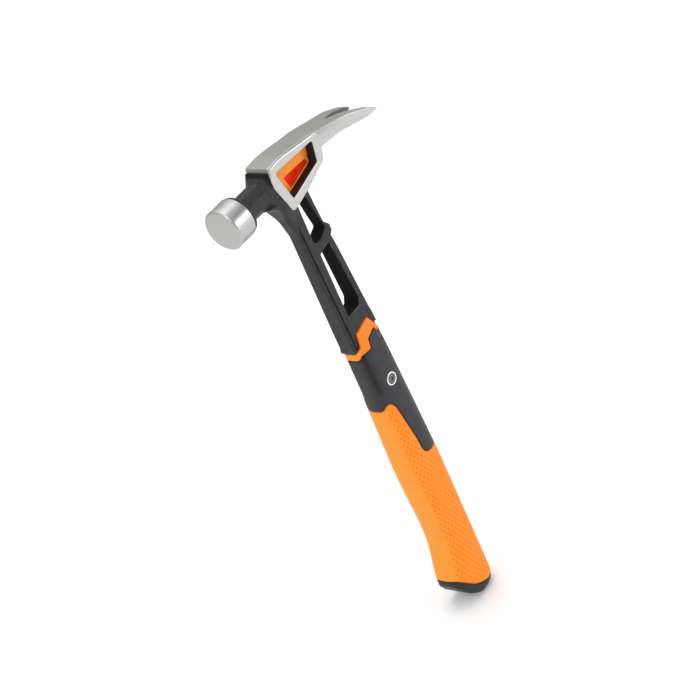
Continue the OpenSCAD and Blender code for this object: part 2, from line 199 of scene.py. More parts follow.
class HammerStage(bpy.types.PropertyGroup):
    """Camera, lights and floor"""
    azimuth: FloatProperty(
        name="Azimuth", description="Camera's turn about the handle, from the cheek to the face",
        default=math.radians(40.358), subtype="ANGLE")
    elevation: FloatProperty(name="Elevation", description="Camera's height above the horizon",
                             default=math.radians(29.282), subtype="ANGLE")
    roll: FloatProperty(name="Roll", description="Camera's roll", default=math.radians(24.958),
                        subtype="ANGLE")
    distance: FloatProperty(name="Distance", description="Camera's distance from its target", default=1.5375,
                            unit="LENGTH")
    target: FloatVectorProperty(name="Target", description="Point in the middle of the view",
                                subtype="TRANSLATION", default=(-0.011656, 0.0, 0.20321))
    lens: FloatProperty(name="Lens", description="Focal length in millimetres", default=129.98)
    room_light: FloatProperty(name="Room light", description="Strength of the light from all round",
                              default=0.9)
    key_light: FloatProperty(name="Key light", description="Power of the main soft light", default=23.0,
                             unit="POWER")
    floor_shade: FloatProperty(name="Floor", description="Lightness of the floor", default=0.93, min=0.0,
                               max=1.0)


# ---------------------------------------------------------------- outlines and fields
def rounded(corners, degrees=5.0, chord=0.8):
    """The points of an outline of [u, v, radius] corners, each radius drawn as a fine arc."""
    points = np.array([c[:2] for c in corners], float)
    count = len(corners)
    drawn = []
    for i, (_, _, radius) in enumerate(corners):
        here = points[i]
        if radius <= 0:
            drawn.append(here)
            continue
        a = points[i - 1] - here
        b = points[(i + 1) % count] - here
        a, b = a / np.linalg.norm(a), b / np.linalg.norm(b)
        half = math.acos(max(-1.0, min(1.0, float(a @ b)))) / 2
        middle = here + (a + b) / np.linalg.norm(a + b) * radius / math.sin(half)
        start = here + a * radius / math.tan(half) - middle
        end = here + b * radius / math.tan(half) - middle
        angle = math.atan2(start[1], start[0])
        turn = math.atan2(start[0] * end[1] - start[1] * end[0], float(start @ end))
        steps = max(2, math.ceil(abs(math.degrees(turn)) / degrees), math.ceil(abs(turn) * radius / chord))
        for k in range(steps + 1):
            spin = angle + turn * k / steps
            drawn.append(middle + radius * np.array([math.cos(spin), math.sin(spin)]))
    return np.array(drawn)


def line_distance(line, u, v, closed=False):
    """Distance of each point (u, v) from a line of points."""
    u, v = np.broadcast_arrays(np.asarray(u, float), np.asarray(v, float))
    best = np.full(u.shape, 1e12)
    ends = np.roll(line, -1, 0) if closed else line[1:]
    for (au, av), (bu, bv) in zip(line, ends):
        eu, ev = bu - au, bv - av
        span = eu * eu + ev * ev
        if span < 1e-18:
            continue
        wu, wv = u - au, v - av
        along = np.clip((wu * eu + wv * ev) / span, 0, 1)
        np.minimum(best, (wu - along * eu) ** 2 + (wv - along * ev) ** 2, out=best)
    return np.sqrt(best)


def outline_field(line, u, v):
    """Signed distance from a closed outline, negative inside."""
    u, v = np.broadcast_arrays(np.asarray(u, float), np.asarray(v, float))
    inside = np.zeros(u.shape, bool)
    for (au, av), (bu, bv) in zip(line, np.roll(line, -1, 0)):
        if av == bv:
            continue
        inside ^= ((av > v) != (bv > v)) & (u < au + (bu - au) * (v - av) / (bv - av))
    return np.where(inside, -1.0, 1.0) * line_distance(line, u, v, closed=True)


def both(a, b, radius):
    """Where two solids overlap, with a rounded edge."""
    radius = np.maximum(radius, 1e-6)
    corner = np.hypot(np.maximum(radius + a, 0), np.maximum(radius + b, 0))
    return np.minimum(-radius, np.maximum(a, b)) + corner


def either(a, b, radius):
    """Two solids joined, with a fillet where they meet."""
    radius = np.maximum(radius, 1e-6)
    corner = np.hypot(np.maximum(radius - a, 0), np.maximum(radius - b, 0))
    return np.maximum(radius, np.minimum(a, b)) - corner


def without(a, b, radius):
    """The first solid with the second cut from it, with a rounded edge."""
    return both(a, -b, radius)


def fade(value, start, end):
    """0 before start and 1 after end, with a soft change between."""
    t = np.clip((value - start) / (end - start), 0, 1)
    return t * t * (3 - 2 * t)


def hull_field(points):
    """The signed field of the flat-sided solid round some points."""
    shape = bmesh.new()
    for p in points:
        shape.verts.new(p)
    bmesh.ops.convex_hull(shape, input=shape.verts)
    shape.normal_update()
    planes = {}
    for face in shape.faces:
        n = face.normal
        key = tuple(round(c, 3) for c in n)
        planes[key] = (np.array(n), float(n.dot(face.verts[0].co)))
    shape.free()
    walls = list(planes.values())

    def field(x, y, z, radius=0.7):
        value = None
        for n, reach in walls:
            wall = n[0] * x + n[1] * y + n[2] * z - reach
            value = wall if value is None else both(value, wall, radius)
        return value

    return field


# ---------------------------------------------------------------- meshes
def new_piece(name, vertices_mm, faces, attributes=None):
    """A smooth mesh object at the origin, from points in millimetres."""
    mesh = bpy.data.meshes.new(name)
    mesh.from_pydata((np.asarray(vertices_mm, float) * MM).tolist(), [], [tuple(map(int, f)) for f in faces])
    for key, values in (attributes or {}).items():
        mesh.attributes.new(key, "FLOAT", "POINT").data.foreach_set("value", np.asarray(values, np.float32))
    mesh.validate()
    mesh.polygons.foreach_set("use_smooth", np.ones(len(mesh.polygons), bool))
    mesh.update()
    piece = bpy.data.objects.new(name, mesh)
    bpy.context.scene.collection.objects.link(piece)
    return piece


def settle(piece, slot, *nodes):
    """Puts a finished piece on the hammer's one body in place of its CAD nodes."""
    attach(piece, "root")
    if nodes:
        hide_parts(*nodes)
    return piece


def cast(field, low, high, step):
    """Vertices and four-sided faces round the inside of a field, pulled onto its surface."""
    axes = []
    for i in range(3):
        count = int(math.ceil((high[i] - low[i]) / step)) + 3
        middle = (low[i] + high[i]) / 2
        axes.append(middle + (np.arange(count) - (count - 1) / 2) * step)
    x, y, z = axes[0][:, None, None], axes[1][None, :, None], axes[2][None, None, :]
    values = np.broadcast_to(field(x, y, z), [len(a) for a in axes])
    inside = values < 0
    cells_shape = tuple(len(a) - 1 for a in axes)
    window = [tuple(slice(o, o + n) for o, n in zip(offset, cells_shape)) for offset in np.ndindex(2, 2, 2)]
    filled = sum(inside[w].astype(np.int8) for w in window)
    cells = np.argwhere((filled > 0) & (filled < 8))
    number = np.full(cells_shape, -1, np.int64)
    number[tuple(cells.T)] = np.arange(len(cells))
    spots = np.zeros((len(cells), 3))
    hits = np.zeros(len(cells))
    for axis in range(3):
        along = np.eye(3, dtype=int)[axis]
        for offset in np.ndindex(2, 2, 2):
            if offset[axis]:
                continue
            a = cells + offset
            b = a + along
            fa, fb = values[tuple(a.T)], values[tuple(b.T)]
            crossed = (fa < 0) != (fb < 0)
            part = np.where(crossed, fa / np.where(crossed, fa - fb, 1.0), 0.0)
            spots += crossed[:, None] * (a + part[:, None] * along)
            hits += crossed
    origin = np.array([a[0] for a in axes])
    points = origin + spots / hits[:, None] * step
    quads = []
    for axis in range(3):
        one, two = np.eye(3, dtype=int)[(axis + 1) % 3], np.eye(3, dtype=int)[(axis + 2) % 3]
        along = np.eye(3, dtype=int)[axis]
        head = tuple(slice(0, -1) if k == axis else slice(None) for k in range(3))
        tail = tuple(slice(1, None) if k == axis else slice(None) for k in range(3))
        changes = np.argwhere(inside[head] != inside[tail])
        out = ~inside[tuple(changes.T)]
        ring = [number[tuple((changes - d).T)] for d in (0 * one, one, one + two, two)]
        quad = np.stack(ring, 1)
        quad[out] = quad[out][:, ::-1]
        quads.append(quad)
    nudge = 0.02
    for _ in range(3):
        value = field(*points.T)
        slope = np.stack([field(*(points + nudge * np.eye(3)[k]).T) - value for k in range(3)], 1) / nudge
        move = slope * (value / np.maximum((slope ** 2).sum(1), 0.05))[:, None]
        reach = np.linalg.norm(move, axis=1)
        points = points - move * np.minimum(1, 0.5 * step / np.maximum(reach, 1e-9))[:, None]
    return points, np.vstack(quads)


def edge_sharpness(points, quads, step):
    """How far each vertex stands out from its neighbours, 0 on flats to 1 on sharp outer edges."""
    a = quads.reshape(-1)
    b = np.roll(quads, -1, 1).reshape(-1)
    total = np.zeros_like(points)
    count = np.zeros(len(points))
    for p, q in ((a, b), (b, a)):
        np.add.at(total, p, points[q])
        np.add.at(count, p, 1)
    normal = np.zeros_like(points)
    across = np.cross(points[quads[:, 2]] - points[quads[:, 0]], points[quads[:, 3]] - points[quads[:, 1]])
    for k in range(4):
        np.add.at(normal, quads[:, k], across)
    normal /= np.maximum(np.linalg.norm(normal, axis=1), 1e-12)[:, None]
    lift = ((points - total / count[:, None]) * normal).sum(1) / step
    return fade(lift, 0.03, 0.16)


def turned(profile, start_x, centre_z, count=128):
    """A solid turned about an X axis at a height, from [along, radius] points that start and end on it."""
    angles = np.arange(count) * 2 * math.pi / count
    points, rings = [], []
    for along, radius in profile:
        start = len(points)
        if radius < 1e-6:
            points.append((start_x + along, 0.0, centre_z))
            rings.append([start] * count)
        else:
            points += [(start_x + along, radius * math.cos(a), centre_z + radius * math.sin(a))
                       for a in angles]
            rings.append(list(range(start, start + count)))
    faces = []
    for low, high in zip(rings, rings[1:]):
        for k in range(count):
            loop = [low[k], low[(k + 1) % count], high[(k + 1) % count], high[k]]
            faces.append([v for i, v in enumerate(loop) if v not in loop[:i]])
    return np.array(points), faces


def outward(piece):
    """Merges doubled points and turns every face outwards."""
    shape = bmesh.new()
    shape.from_mesh(piece.data)
    bmesh.ops.remove_doubles(shape, verts=shape.verts, dist=1e-7)
    bmesh.ops.recalc_face_normals(shape, faces=shape.faces)
    shape.to_mesh(piece.data)
    shape.free()
    return piece


def sharpen(piece, degrees=35.0):
    """Marks the edges that are sharper than an angle, so that shading breaks there."""
    piece.data.set_sharp_from_angle(angle=math.radians(degrees))
    return piece


def joined(name, *pieces):
    """One object from several, keeping the first one's name."""
    with bpy.context.temp_override(active_object=pieces[0], selected_editable_objects=list(pieces)):
        bpy.ops.object.join()
    pieces[0].name = name
    pieces[0].data.name = name
    return pieces[0]


def block(name, low, high, edge=0.4):
    """A rectangular solid with bevelled edges."""
    low, high = np.array(low, float), np.array(high, float)
    shape = bmesh.new()
    bmesh.ops.create_cube(shape, size=1.0)
    for v in shape.verts:
        v.co = Vector((low + (np.array(v.co) + 0.5) * (high - low)) * MM)
    bmesh.ops.bevel(shape, geom=shape.edges[:], offset=edge * MM, segments=2, profile=0.5, affect="EDGES")
    mesh = bpy.data.meshes.new(name)
    shape.to_mesh(mesh)
    shape.free()
    piece = bpy.data.objects.new(name, mesh)
    bpy.context.scene.collection.objects.link(piece)
    return piece


# ---------------------------------------------------------------- the handle's surface
class HandleForm:
    """The outer form of the handle, unrolled: around runs from its front ridge to its back, height up it."""

    half_round = 41.5
    butt_radius = 1.3
    heel_height, heel_drop = 10.0, 4.4

    def __init__(self, squareness):
        self.power = squareness
        heights = np.arange(-30.0, 251.0)
        kernel = np.exp(-0.5 * (np.arange(-12, 13) / 3.5) ** 2)
        kernel /= kernel.sum()
        self.heights = heights
        self.reach = []
        for stations in (FRONT_AT, BACK_AT, SIDE_AT):
            z, value = np.array(stations, float).T
            straight = np.interp(heights, z, value)
            soft = np.convolve(np.pad(straight, 12, mode="edge"), kernel, mode="valid")
            blend = 1 - fade(heights, 200, 206)
            self.reach.append(blend * soft + (1 - blend) * straight)
        angle = np.linspace(0, math.pi, 6001)
        x = -15 * self._power(np.cos(angle), 2 / squareness)
        y = 12 * self._power(np.sin(angle), 2 / squareness)
        walked = np.concatenate([[0], np.cumsum(np.hypot(np.diff(x), np.diff(y)))])
        self.angle, self.walked = angle, walked / walked[-1] * self.half_round
        self.butt = self.unroll(BUTT_LINE)

    @staticmethod
    def _power(value, exponent):
        return np.sign(value) * np.abs(value) ** exponent

    def section(self, height):
        front, back, side = (np.interp(height, self.heights, r) for r in self.reach)
        heel = np.clip(1 - np.asarray(height, float) / self.heel_height, 0, 1)
        tuck = self.heel_drop * (1 - np.sqrt(1 - heel ** 2 * 0.999))
        back, side = back - tuck, side - tuck
        return (back - front) / 2, (back + front) / 2, side

    def around_at(self, x, height):
        """The place round the section whose side view is at x."""
        centre, depth, _ = self.section(height)
        c = np.clip(-(x - centre) / depth, -1, 1)
        return np.interp(np.arccos(self._power(c, self.power / 2)), self.angle, self.walked)

    def unroll(self, corners):
        """A dividing line as points (around, height), from the front ridge to the back."""
        line = rounded(corners, degrees=8)
        fine = []
        for a, b in zip(line, line[1:]):
            steps = max(1, int(np.linalg.norm(b - a) / 0.25))
            fine += [a + (b - a) * k / steps for k in range(steps)]
        fine = np.array(fine + [line[-1]])
        centre, depth, _ = self.section(fine[:, 1])
        fine = fine[np.abs(fine[:, 0] - centre) < depth * 0.9995]
        around = self.around_at(fine[:, 0], fine[:, 1])
        points = np.vstack([
            [0, fine[0, 1]], np.stack([around, fine[:, 1]], 1), [self.half_round, fine[-1, 1]]])
        walked = np.concatenate([[0], np.cumsum(np.hypot(*np.diff(points, axis=0).T))])
        even = np.linspace(0, walked[-1], int(walked[-1] / 0.5) + 2)
        return np.stack([np.interp(even, walked, points[:, 0]), np.interp(even, walked, points[:, 1])], 1)

    def points(self, around, height, inset):
        """Points on the near side of the handle, sunk below its surface by inset."""
        centre, depth, side = self.section(height)
        angle = np.interp(around, self.walked, self.angle)
        u = -self._power(np.cos(angle), 2 / self.power)
        w = self._power(np.sin(angle), 2 / self.power)
        w[(around <= 0) | (around >= self.half_round)] = 0
        nx = np.sign(u) * np.abs(u) ** (self.power - 1) / depth
        ny = w ** (self.power - 1) / side
        size = np.hypot(nx, ny)
        sunk = inset + lip_drop(line_distance(self.butt, around, height), self.butt_radius)
        return np.stack([centre + depth * u - nx / size * sunk, -(side * w - ny / size * sunk),
                         height * np.ones_like(u)], 1)


def lip_drop(distance, radius):
    """How far a rounded edge has fallen away at a distance from its end."""
    if radius <= 0:
        return np.zeros_like(distance)
    back = radius - np.minimum(distance, radius)
    return radius - np.sqrt(np.maximum(radius ** 2 - back ** 2, 0))


LIP_STEPS = [1 - math.sin(math.radians(a)) for a in (0, 15, 30, 45, 60, 75)]


def moulding(form, low, high, inset, thick, low_lip, high_lip, grain=1.5, hole=None, dimples=None,
             hollow=None):
    """A closed shell of the handle between two dividing lines: vertices, faces and vertex attributes.

    A hole is (around, height, radius, lip); dimples is their pattern; hollow gives how far the surface sinks.
    """
    low, high = form.unroll(low), form.unroll(high)
    if hole:
        hole_middle, hole_radius, hole_lip = np.array(hole[:2]), hole[2], hole[3]

        def from_hole(places):
            return np.hypot(*(places - hole_middle).T)

    domain = np.vstack([low, high[::-1]])
    end = form.half_round
    loose = [domain]
    for line, lip, up in ((low, low_lip, 1), (high, high_lip, -1)):
        along = np.gradient(line, axis=0)
        normal = np.stack([-along[:, 1], along[:, 0]], 1)
        normal *= up / np.maximum(np.linalg.norm(normal, axis=1), 1e-9)[:, None]
        for share in LIP_STEPS + [1.9]:
            if lip <= 0:
                continue
            row = line + normal * share * lip
            clear = line_distance(line, *row.T) > 0.97 * share * lip
            row = row[clear & (row[:, 0] > 0.12) & (row[:, 0] < end - 0.12)]
            if share > 0.01:
                loose += [row, [[0, line[0, 1] + up * share * lip], [end, line[-1, 1] + up * share * lip]]]
    rows = np.arange(low[:, 1].min(), high[:, 1].max(), grain * 0.87)
    grid = [[k * grain + (i % 2) * grain / 2, z]
            for i, z in enumerate(rows) for k in range(int(end / grain) + 1)]
    grid = np.array([g for g in grid if 0.4 * grain < g[0] < end - 0.4 * grain])
    seams = np.array([[s, z] for s in (0, end) for z in rows])
    inner = np.vstack([grid, seams])
    clear_low, clear_high = line_distance(low, *inner.T), line_distance(high, *inner.T)
    above_low = inner[:, 1] > np.interp(inner[:, 0], [0, end], [low[0, 1], low[-1, 1]])
    below_high = inner[:, 1] < np.interp(inner[:, 0], [0, end], [high[0, 1], high[-1, 1]])
    on_seam = (inner[:, 0] == 0) | (inner[:, 0] == end)
    within = np.where(on_seam, above_low & below_high, outline_field(domain, *inner.T) < 0)
    inner = inner[within & (clear_low > 1.9 * low_lip + 0.5 * grain)
                  & (clear_high > 1.9 * high_lip + 0.5 * grain)]
    if dimples:
        centres = dimple_places(form, low, high, dimples)
        from_centre = np.hypot(inner[:, None, 0] - centres[None, :, 0],
                               inner[:, None, 1] - centres[None, :, 1])
        inner = inner[from_centre.min(1) > dimples["radius"] * 1.4 + 0.45 * grain]
        loose.append(centres)
        for share, count, twist in ((0.45, 6, 0), (0.8, 8, 0.4), (1.0, 8, 0), (1.35, 8, 0.4)):
            spin = (np.arange(count) + twist) * 2 * math.pi / count
            ring = dimples["radius"] * share * np.stack([np.cos(spin), np.sin(spin)], 1)
            loose.append((centres[:, None] + ring[None]).reshape(-1, 2))
    if hole:
        spin = np.arange(48) * 2 * math.pi / 48
        circle = np.stack([np.cos(spin), np.sin(spin)], 1)
        inner = inner[from_hole(inner) > hole_radius + hole_lip + 0.6 * grain]
        for share in LIP_STEPS + [0.0, 1.9]:
            loose.append(hole_middle + circle * (hole_radius + share * hole_lip))
    loose = np.vstack([np.asarray(p, float) for p in loose + [inner]])
    _, first = np.unique(np.round(loose, 5), axis=0, return_index=True)
    loose = loose[np.sort(first)]
    found = delaunay_2d_cdt([Vector(p) for p in loose], [], [], 0, 1e-7)
    flat = np.array([v[:] for v in found[0]])
    triangles = np.array([f for f in found[2] if len(f) == 3])
    middles = flat[triangles].mean(1)
    keep = outline_field(domain, *middles.T) < 0
    if hole:
        keep &= from_hole(middles) > hole_radius
    triangles = triangles[keep]
    a, b, c = (flat[triangles[:, k]] for k in range(3))
    area = (b[:, 0] - a[:, 0]) * (c[:, 1] - a[:, 1]) - (b[:, 1] - a[:, 1]) * (c[:, 0] - a[:, 0])
    triangles = triangles[np.abs(area) > 1e-9]
    turned_over = area[np.abs(area) > 1e-9] < 0
    triangles[turned_over] = triangles[turned_over][:, ::-1]

    from_edge = np.minimum(line_distance(low, *flat.T), line_distance(high, *flat.T))
    drop = lip_drop(line_distance(low, *flat.T), low_lip) + lip_drop(line_distance(high, *flat.T), high_lip)
    sunken = np.zeros(len(flat))
    if hole:
        drop += lip_drop(np.maximum(from_hole(flat) - hole_radius, 0), hole_lip)
    if hollow is not None:
        sunken = hollow(*flat.T)
        drop += sunken
    flat[:, 0] = np.where(flat[:, 0] < 1e-4, 0, np.where(flat[:, 0] > end - 1e-4, end, flat[:, 0]))
    near = form.points(flat[:, 0], flat[:, 1], inset + drop)
    count = len(flat)
    deep = form.points(flat[:, 0], flat[:, 1], np.full(count, inset + thick))
    seam = (flat[:, 0] == 0) | (flat[:, 0] == end)
    far = np.where(seam, np.arange(count), count + np.arange(count))
    outer = np.vstack([near, near * [1, -1, 1]])
    inner_shell = np.vstack([deep, deep * [1, -1, 1]])
    outside = np.vstack([triangles, far[triangles][:, ::-1]])
    inside = outside[:, ::-1] + 2 * count
    directed = set()
    for k in range(3):
        directed.update(zip(outside[:, k].tolist(), outside[:, (k + 1) % 3].tolist()))
    rim = [(j, i, i + 2 * count, j + 2 * count) for i, j in sorted(directed) if (j, i) not in directed]
    vertices = np.vstack([outer, inner_shell])
    faces = [tuple(f) for f in outside.tolist()] + [tuple(f) for f in inside.tolist()] + rim
    used = np.unique(np.concatenate([np.ravel(f) for f in (outside, inside)]))
    renumber = np.full(len(vertices), -1)
    renumber[used] = np.arange(len(used))
    place = np.vstack([flat] * 4)[used]
    # Masks for painted shadow along the parting lines and painted shade in the flute.
    seam_shade = np.tile(1 - fade(from_edge, 0.15, 1.1), 4)[used]
    sunken = np.tile(fade(sunken, 0.2, 2.2), 4)[used]
    skin = np.concatenate([np.ones(2 * count), np.zeros(2 * count)])[used]
    return vertices[used], [tuple(renumber[list(f)]) for f in faces], {
        "around": place[:, 0], "height": place[:, 1], "skin": skin, "seam": seam_shade, "hollow": sunken}


def flute(form, depth):
    """The hollow behind the handle's front ridge, which runs out into the grip and the collar."""
    def hollow(around, height):
        middle = form.around_at(np.full(around.shape, FLUTE_AT), height)
        across = np.clip(np.abs(around - middle) / FLUTE_HALF_WIDTH, 0, 1)
        ends = fade(height, 160, 178), 1 - fade(height, 196, 203.5)
        return depth * np.cos(across * math.pi / 2) ** 2 * ends[0] * ends[1]

    return hollow


def dimple_places(form, low, high, dimples):
    """The lattice points of the dimples that lie on the flat of the grip, clear of its edges."""
    pitch, gap = dimples["pitch"], dimples["rows"]
    rows = np.arange(math.ceil(low[:, 1].min() / gap), math.floor(high[:, 1].max() / gap) + 1)
    places = np.array([[k * pitch + (row % 2) * pitch / 2, row * gap]
                       for row in rows for k in range(int(form.half_round / pitch) + 1)])
    domain = np.vstack([low, high[::-1]])
    clear = outline_field(domain, *places.T) < -DIMPLE_MARGIN
    return places[clear & (places[:, 0] > DIMPLE_FRONT) & (places[:, 0] < form.half_round - DIMPLE_BACK)]


# ---------------------------------------------------------------- node trees
class Reading:
    """A number in a node tree; sums on it add Math nodes."""

    def __init__(self, graph, socket):
        self.graph, self.socket = graph, socket

    def _sum(self, operation, *values):
        return self.graph.maths(operation, *values)

    def __add__(self, other):
        return self._sum("ADD", self, other)

    def __sub__(self, other):
        return self._sum("SUBTRACT", self, other)

    def __rsub__(self, other):
        return self._sum("SUBTRACT", other, self)

    def __mul__(self, other):
        return self._sum("MULTIPLY", self, other)

    def __truediv__(self, other):
        return self._sum("DIVIDE", self, other)

    __radd__, __rmul__ = __add__, __mul__


class Graph:
    """A node tree that is being drawn."""

    def __init__(self, tree):
        self.tree = tree

    def node(self, kind, settings=None, sockets=None):
        """Adds a node, sets it up and fills its sockets with values or links."""
        made = self.tree.nodes.new(kind)
        for key, value in (settings or {}).items():
            if key == "stops":
                while len(made.color_ramp.elements) < len(value):
                    made.color_ramp.elements.new(0.5)
                for stop, (place, shade) in zip(made.color_ramp.elements, value):
                    stop.position, stop.color = place, shade
            else:
                setattr(made, key, value)
        for key, value in (sockets or {}).items():
            self.feed(made.inputs[key], value)
        return made

    def feed(self, socket, value):
        if isinstance(value, Reading):
            value = value.socket
        if isinstance(value, bpy.types.NodeSocket):
            self.tree.links.new(value, socket)
        else:
            socket.default_value = value

    def maths(self, operation, *values):
        made = self.node("ShaderNodeMath", {"operation": operation}, dict(enumerate(values)))
        return Reading(self, made.outputs[0])


class Finish(Graph):
    """A material that is being mixed, on one Principled shader."""

    def __init__(self, name, **constants):
        self.material = bpy.data.materials.new(name)
        self.material.use_nodes = True
        super().__init__(self.material.node_tree)
        self.shader = self.tree.nodes["Principled BSDF"]
        for key, value in constants.items():
            self.shader.inputs[key.replace("_", " ")].default_value = value
        self.place = self.node("ShaderNodeTexCoord").outputs["Object"]

    def axis(self, index):
        split = self.node("ShaderNodeSeparateXYZ", None, {0: self.place})
        return Reading(self, split.outputs[index])

    def attribute(self, name):
        return Reading(self, self.node("ShaderNodeAttribute", {"attribute_name": name}).outputs["Fac"])

    def noise(self, size, stretch=(1, 1, 1), detail=3.0, roughness=0.55):
        """Noise whose grains are about size millimetres across, drawn out along each axis by stretch."""
        scale = tuple(1.0 / (size * MM * s) for s in stretch)
        spread = self.node("ShaderNodeMapping", None, {"Vector": self.place, "Scale": scale})
        made = self.node("ShaderNodeTexNoise", None, {
            "Vector": spread.outputs[0], "Scale": 1.0, "Detail": detail, "Roughness": roughness})
        return Reading(self, made.outputs["Fac"])

    def spread(self, value, low, high, to_low=0.0, to_high=1.0):
        """Maps a reading from one range to another, softly and within its limits."""
        made = self.node("ShaderNodeMapRange", {"interpolation_type": "SMOOTHSTEP"}, {
            "Value": value, "From Min": low, "From Max": high, "To Min": to_low, "To Max": to_high})
        return Reading(self, made.outputs[0])

    def blend(self, amount, first, second):
        """A colour between two, by an amount."""
        made = self.node("ShaderNodeMix", {"data_type": "RGBA"}, {0: amount})
        self.feed(made.inputs[6], first)
        self.feed(made.inputs[7], second)
        return made.outputs[2]

    def mottle(self, grain, tone, darkest, lightest):
        """A tone that a noise makes a little darker and lighter."""
        return self.blend(self.spread(grain, 0.3, 0.7), shade(tone, darkest), shade(tone, lightest))

    def bump(self, height, depth):
        """A bump of so many millimetres."""
        sockets = {"Height": height, "Distance": depth * MM, "Strength": 1.0}
        return self.node("ShaderNodeBump", None, sockets).outputs[0]

    def paint(self, **sockets):
        for key, value in sockets.items():
            self.feed(self.shader.inputs[key.replace("_", " ")], value)
        return self.material


def shade(tone, by=1.0):
    """An opaque colour, made lighter or darker by a factor."""
    return (*(min(1.0, c * by) for c in tone), 1.0)


def tinted(tone, by):
    """An opaque colour whose channels are scaled one by one."""
    return shade([c * k for c, k in zip(tone, by)])


def head_steel(finishes):
    """Ground cheeks, a duller forged top and black-coated window walls, with painted shade in the nail notch
    and a painted highlight along sharp edges.
    """
    f = Finish("ground_steel", Metallic=1.0)
    cheek, coat, edge = f.attribute("cheek"), f.attribute("coat"), f.attribute("edge")
    grind = f.noise(0.35, (14, 1, 1), detail=2)
    cloud = f.noise(9.0, detail=2)
    grain = f.noise(0.5, detail=3)
    top = f.mottle(grain, finishes.forged, 0.9, 1.1)
    side = f.mottle(grind, finishes.steel, 0.93, 1.06)
    side = f.blend(f.spread(cloud, 0.3, 0.7) * 0.12, side, shade(finishes.steel, 0.75))
    bare = f.blend(cheek, top, side)
    # Painted shade: the walls of the nail notch are darkened.
    bare = f.blend(f.attribute("recess") * 0.85, bare, shade(finishes.forged, 0.2))
    # Painted highlight: lighter steel along the sharp edges.
    bare = f.blend(edge * 0.4, bare, shade(finishes.steel, 1.15))
    colour_out = f.blend(coat, bare, shade(finishes.coating, 0.35))
    rough = (0.5 + 0.1 * grain) * (1 - cheek) + (0.34 + 0.1 * grind) * cheek
    rough = rough * (1 - coat) + 0.55 * coat
    height = grind * cheek + grain * (1 - cheek)
    return f.paint(Base_Color=colour_out, Roughness=rough, Metallic=1 - coat, Normal=f.bump(height, 0.012))


def bell_steel(finishes):
    """Fine-turned sides and a plain ground face that is a little lighter."""
    f = Finish("polished_steel", Metallic=1.0)
    face_x = BELL_LOW[0] * MM
    face = f.spread(f.axis(0), face_x + 0.0001, face_x + 0.00025, 1.0, 0.0)
    lines = f.noise(0.16, (1, 14, 14), detail=2)
    patches = f.noise(6.0, (0.6, 1.6, 1.6), detail=2)
    grain = f.noise(0.4, detail=3)
    side = f.mottle(lines, finishes.steel, 0.84, 0.98)
    colour_out = f.blend(face, side, shade(finishes.steel, 1.0))
    rough = (0.31 + 0.06 * lines + 0.05 * patches) * (1 - face) + (0.5 + 0.08 * grain) * face
    height = lines * (1 - face) + grain * face
    return f.paint(Base_Color=colour_out, Roughness=rough, Normal=f.bump(height, 0.003))


def black_coating(finishes):
    """Baked satin coating with a fine texture, with wear and a painted highlight at the edges, and painted
    shade in the windows, in the groove and on the head's front face.
    """
    f = Finish("black_coating", Specular_IOR_Level=0.2)
    grain = f.noise(0.55, detail=3, roughness=0.6)
    peel = f.noise(2.6, detail=2)
    edge = f.attribute("edge")
    # Edges worn through to lighter metal, which also serves as a painted highlight along the edges.
    wear_and_highlight = f.spread(edge * (0.55 + 0.9 * f.noise(1.8, detail=3)), 0.35, 1.0)
    base = f.mottle(peel, finishes.coating, 0.85, 1.25)
    base = f.blend(wear_and_highlight * 0.6, base, shade(finishes.coating, 4.0))
    # Painted shade: the window walls, the groove and the head's front face are darkened and dulled.
    recess = f.attribute("recess")
    base = f.blend(recess * 0.9, base, shade(finishes.coating, 0.1))
    rough = (0.34 + 0.14 * grain + 0.06 * peel) * (1 - recess) + 0.9 * recess
    return f.paint(Base_Color=base, Roughness=rough, Normal=f.bump(grain, 0.02))


def insert_plastic(finishes):
    """Glossy orange moulding whose pocket is a deeper red."""
    f = Finish("insert_plastic", Specular_IOR_Level=0.25)
    deep = f.attribute("pocket")
    cloud = f.noise(5.0, detail=2)
    rim = f.mottle(cloud, finishes.insert, 0.95, 1.05)
    floor = f.mottle(cloud, finishes.pocket, 0.85, 1.15)
    colour_out = f.blend(deep, rim, floor)
    return f.paint(Base_Color=colour_out, Roughness=0.28 + 0.1 * cloud, Normal=f.bump(f.noise(1.2), 0.01))


def soft_rubber(name, tone, roughness):
    """Coloured rubber with a faint skin texture, a painted highlight along its front ridge, painted shade in
    the dimples and a painted shadow along the parting lines.
    """
    f = Finish(name, Specular_IOR_Level=0.22)
    grain = f.noise(0.45, detail=3)
    cloud = f.noise(12.0, detail=2)
    pit = f.attribute("pit")
    base = f.mottle(cloud, tone, 0.96, 1.04)
    base = f.blend(f.spread(grain, 0.35, 0.65) * 0.25, base, shade(tone, 0.86))
    # Painted highlight: the front ridge is made lighter and paler.
    ridge = 1 - f.spread(f.attribute("around"), 5.0, 12.0)
    base = f.blend(ridge * 0.5, base, tinted(tone, (1.05, 1.6, 4.0)))
    # Painted shade: the dimples are darker and redder.
    base = f.blend(pit * 0.6, base, tinted(tone, (0.66, 0.42, 0.3)))
    # Painted shadow along the parting lines.
    base = f.blend(f.attribute("seam") * 0.75, base, tinted(tone, (0.35, 0.2, 0.1)))
    return f.paint(Base_Color=base, Roughness=roughness + 0.12 * grain, Normal=f.bump(grain, 0.02))


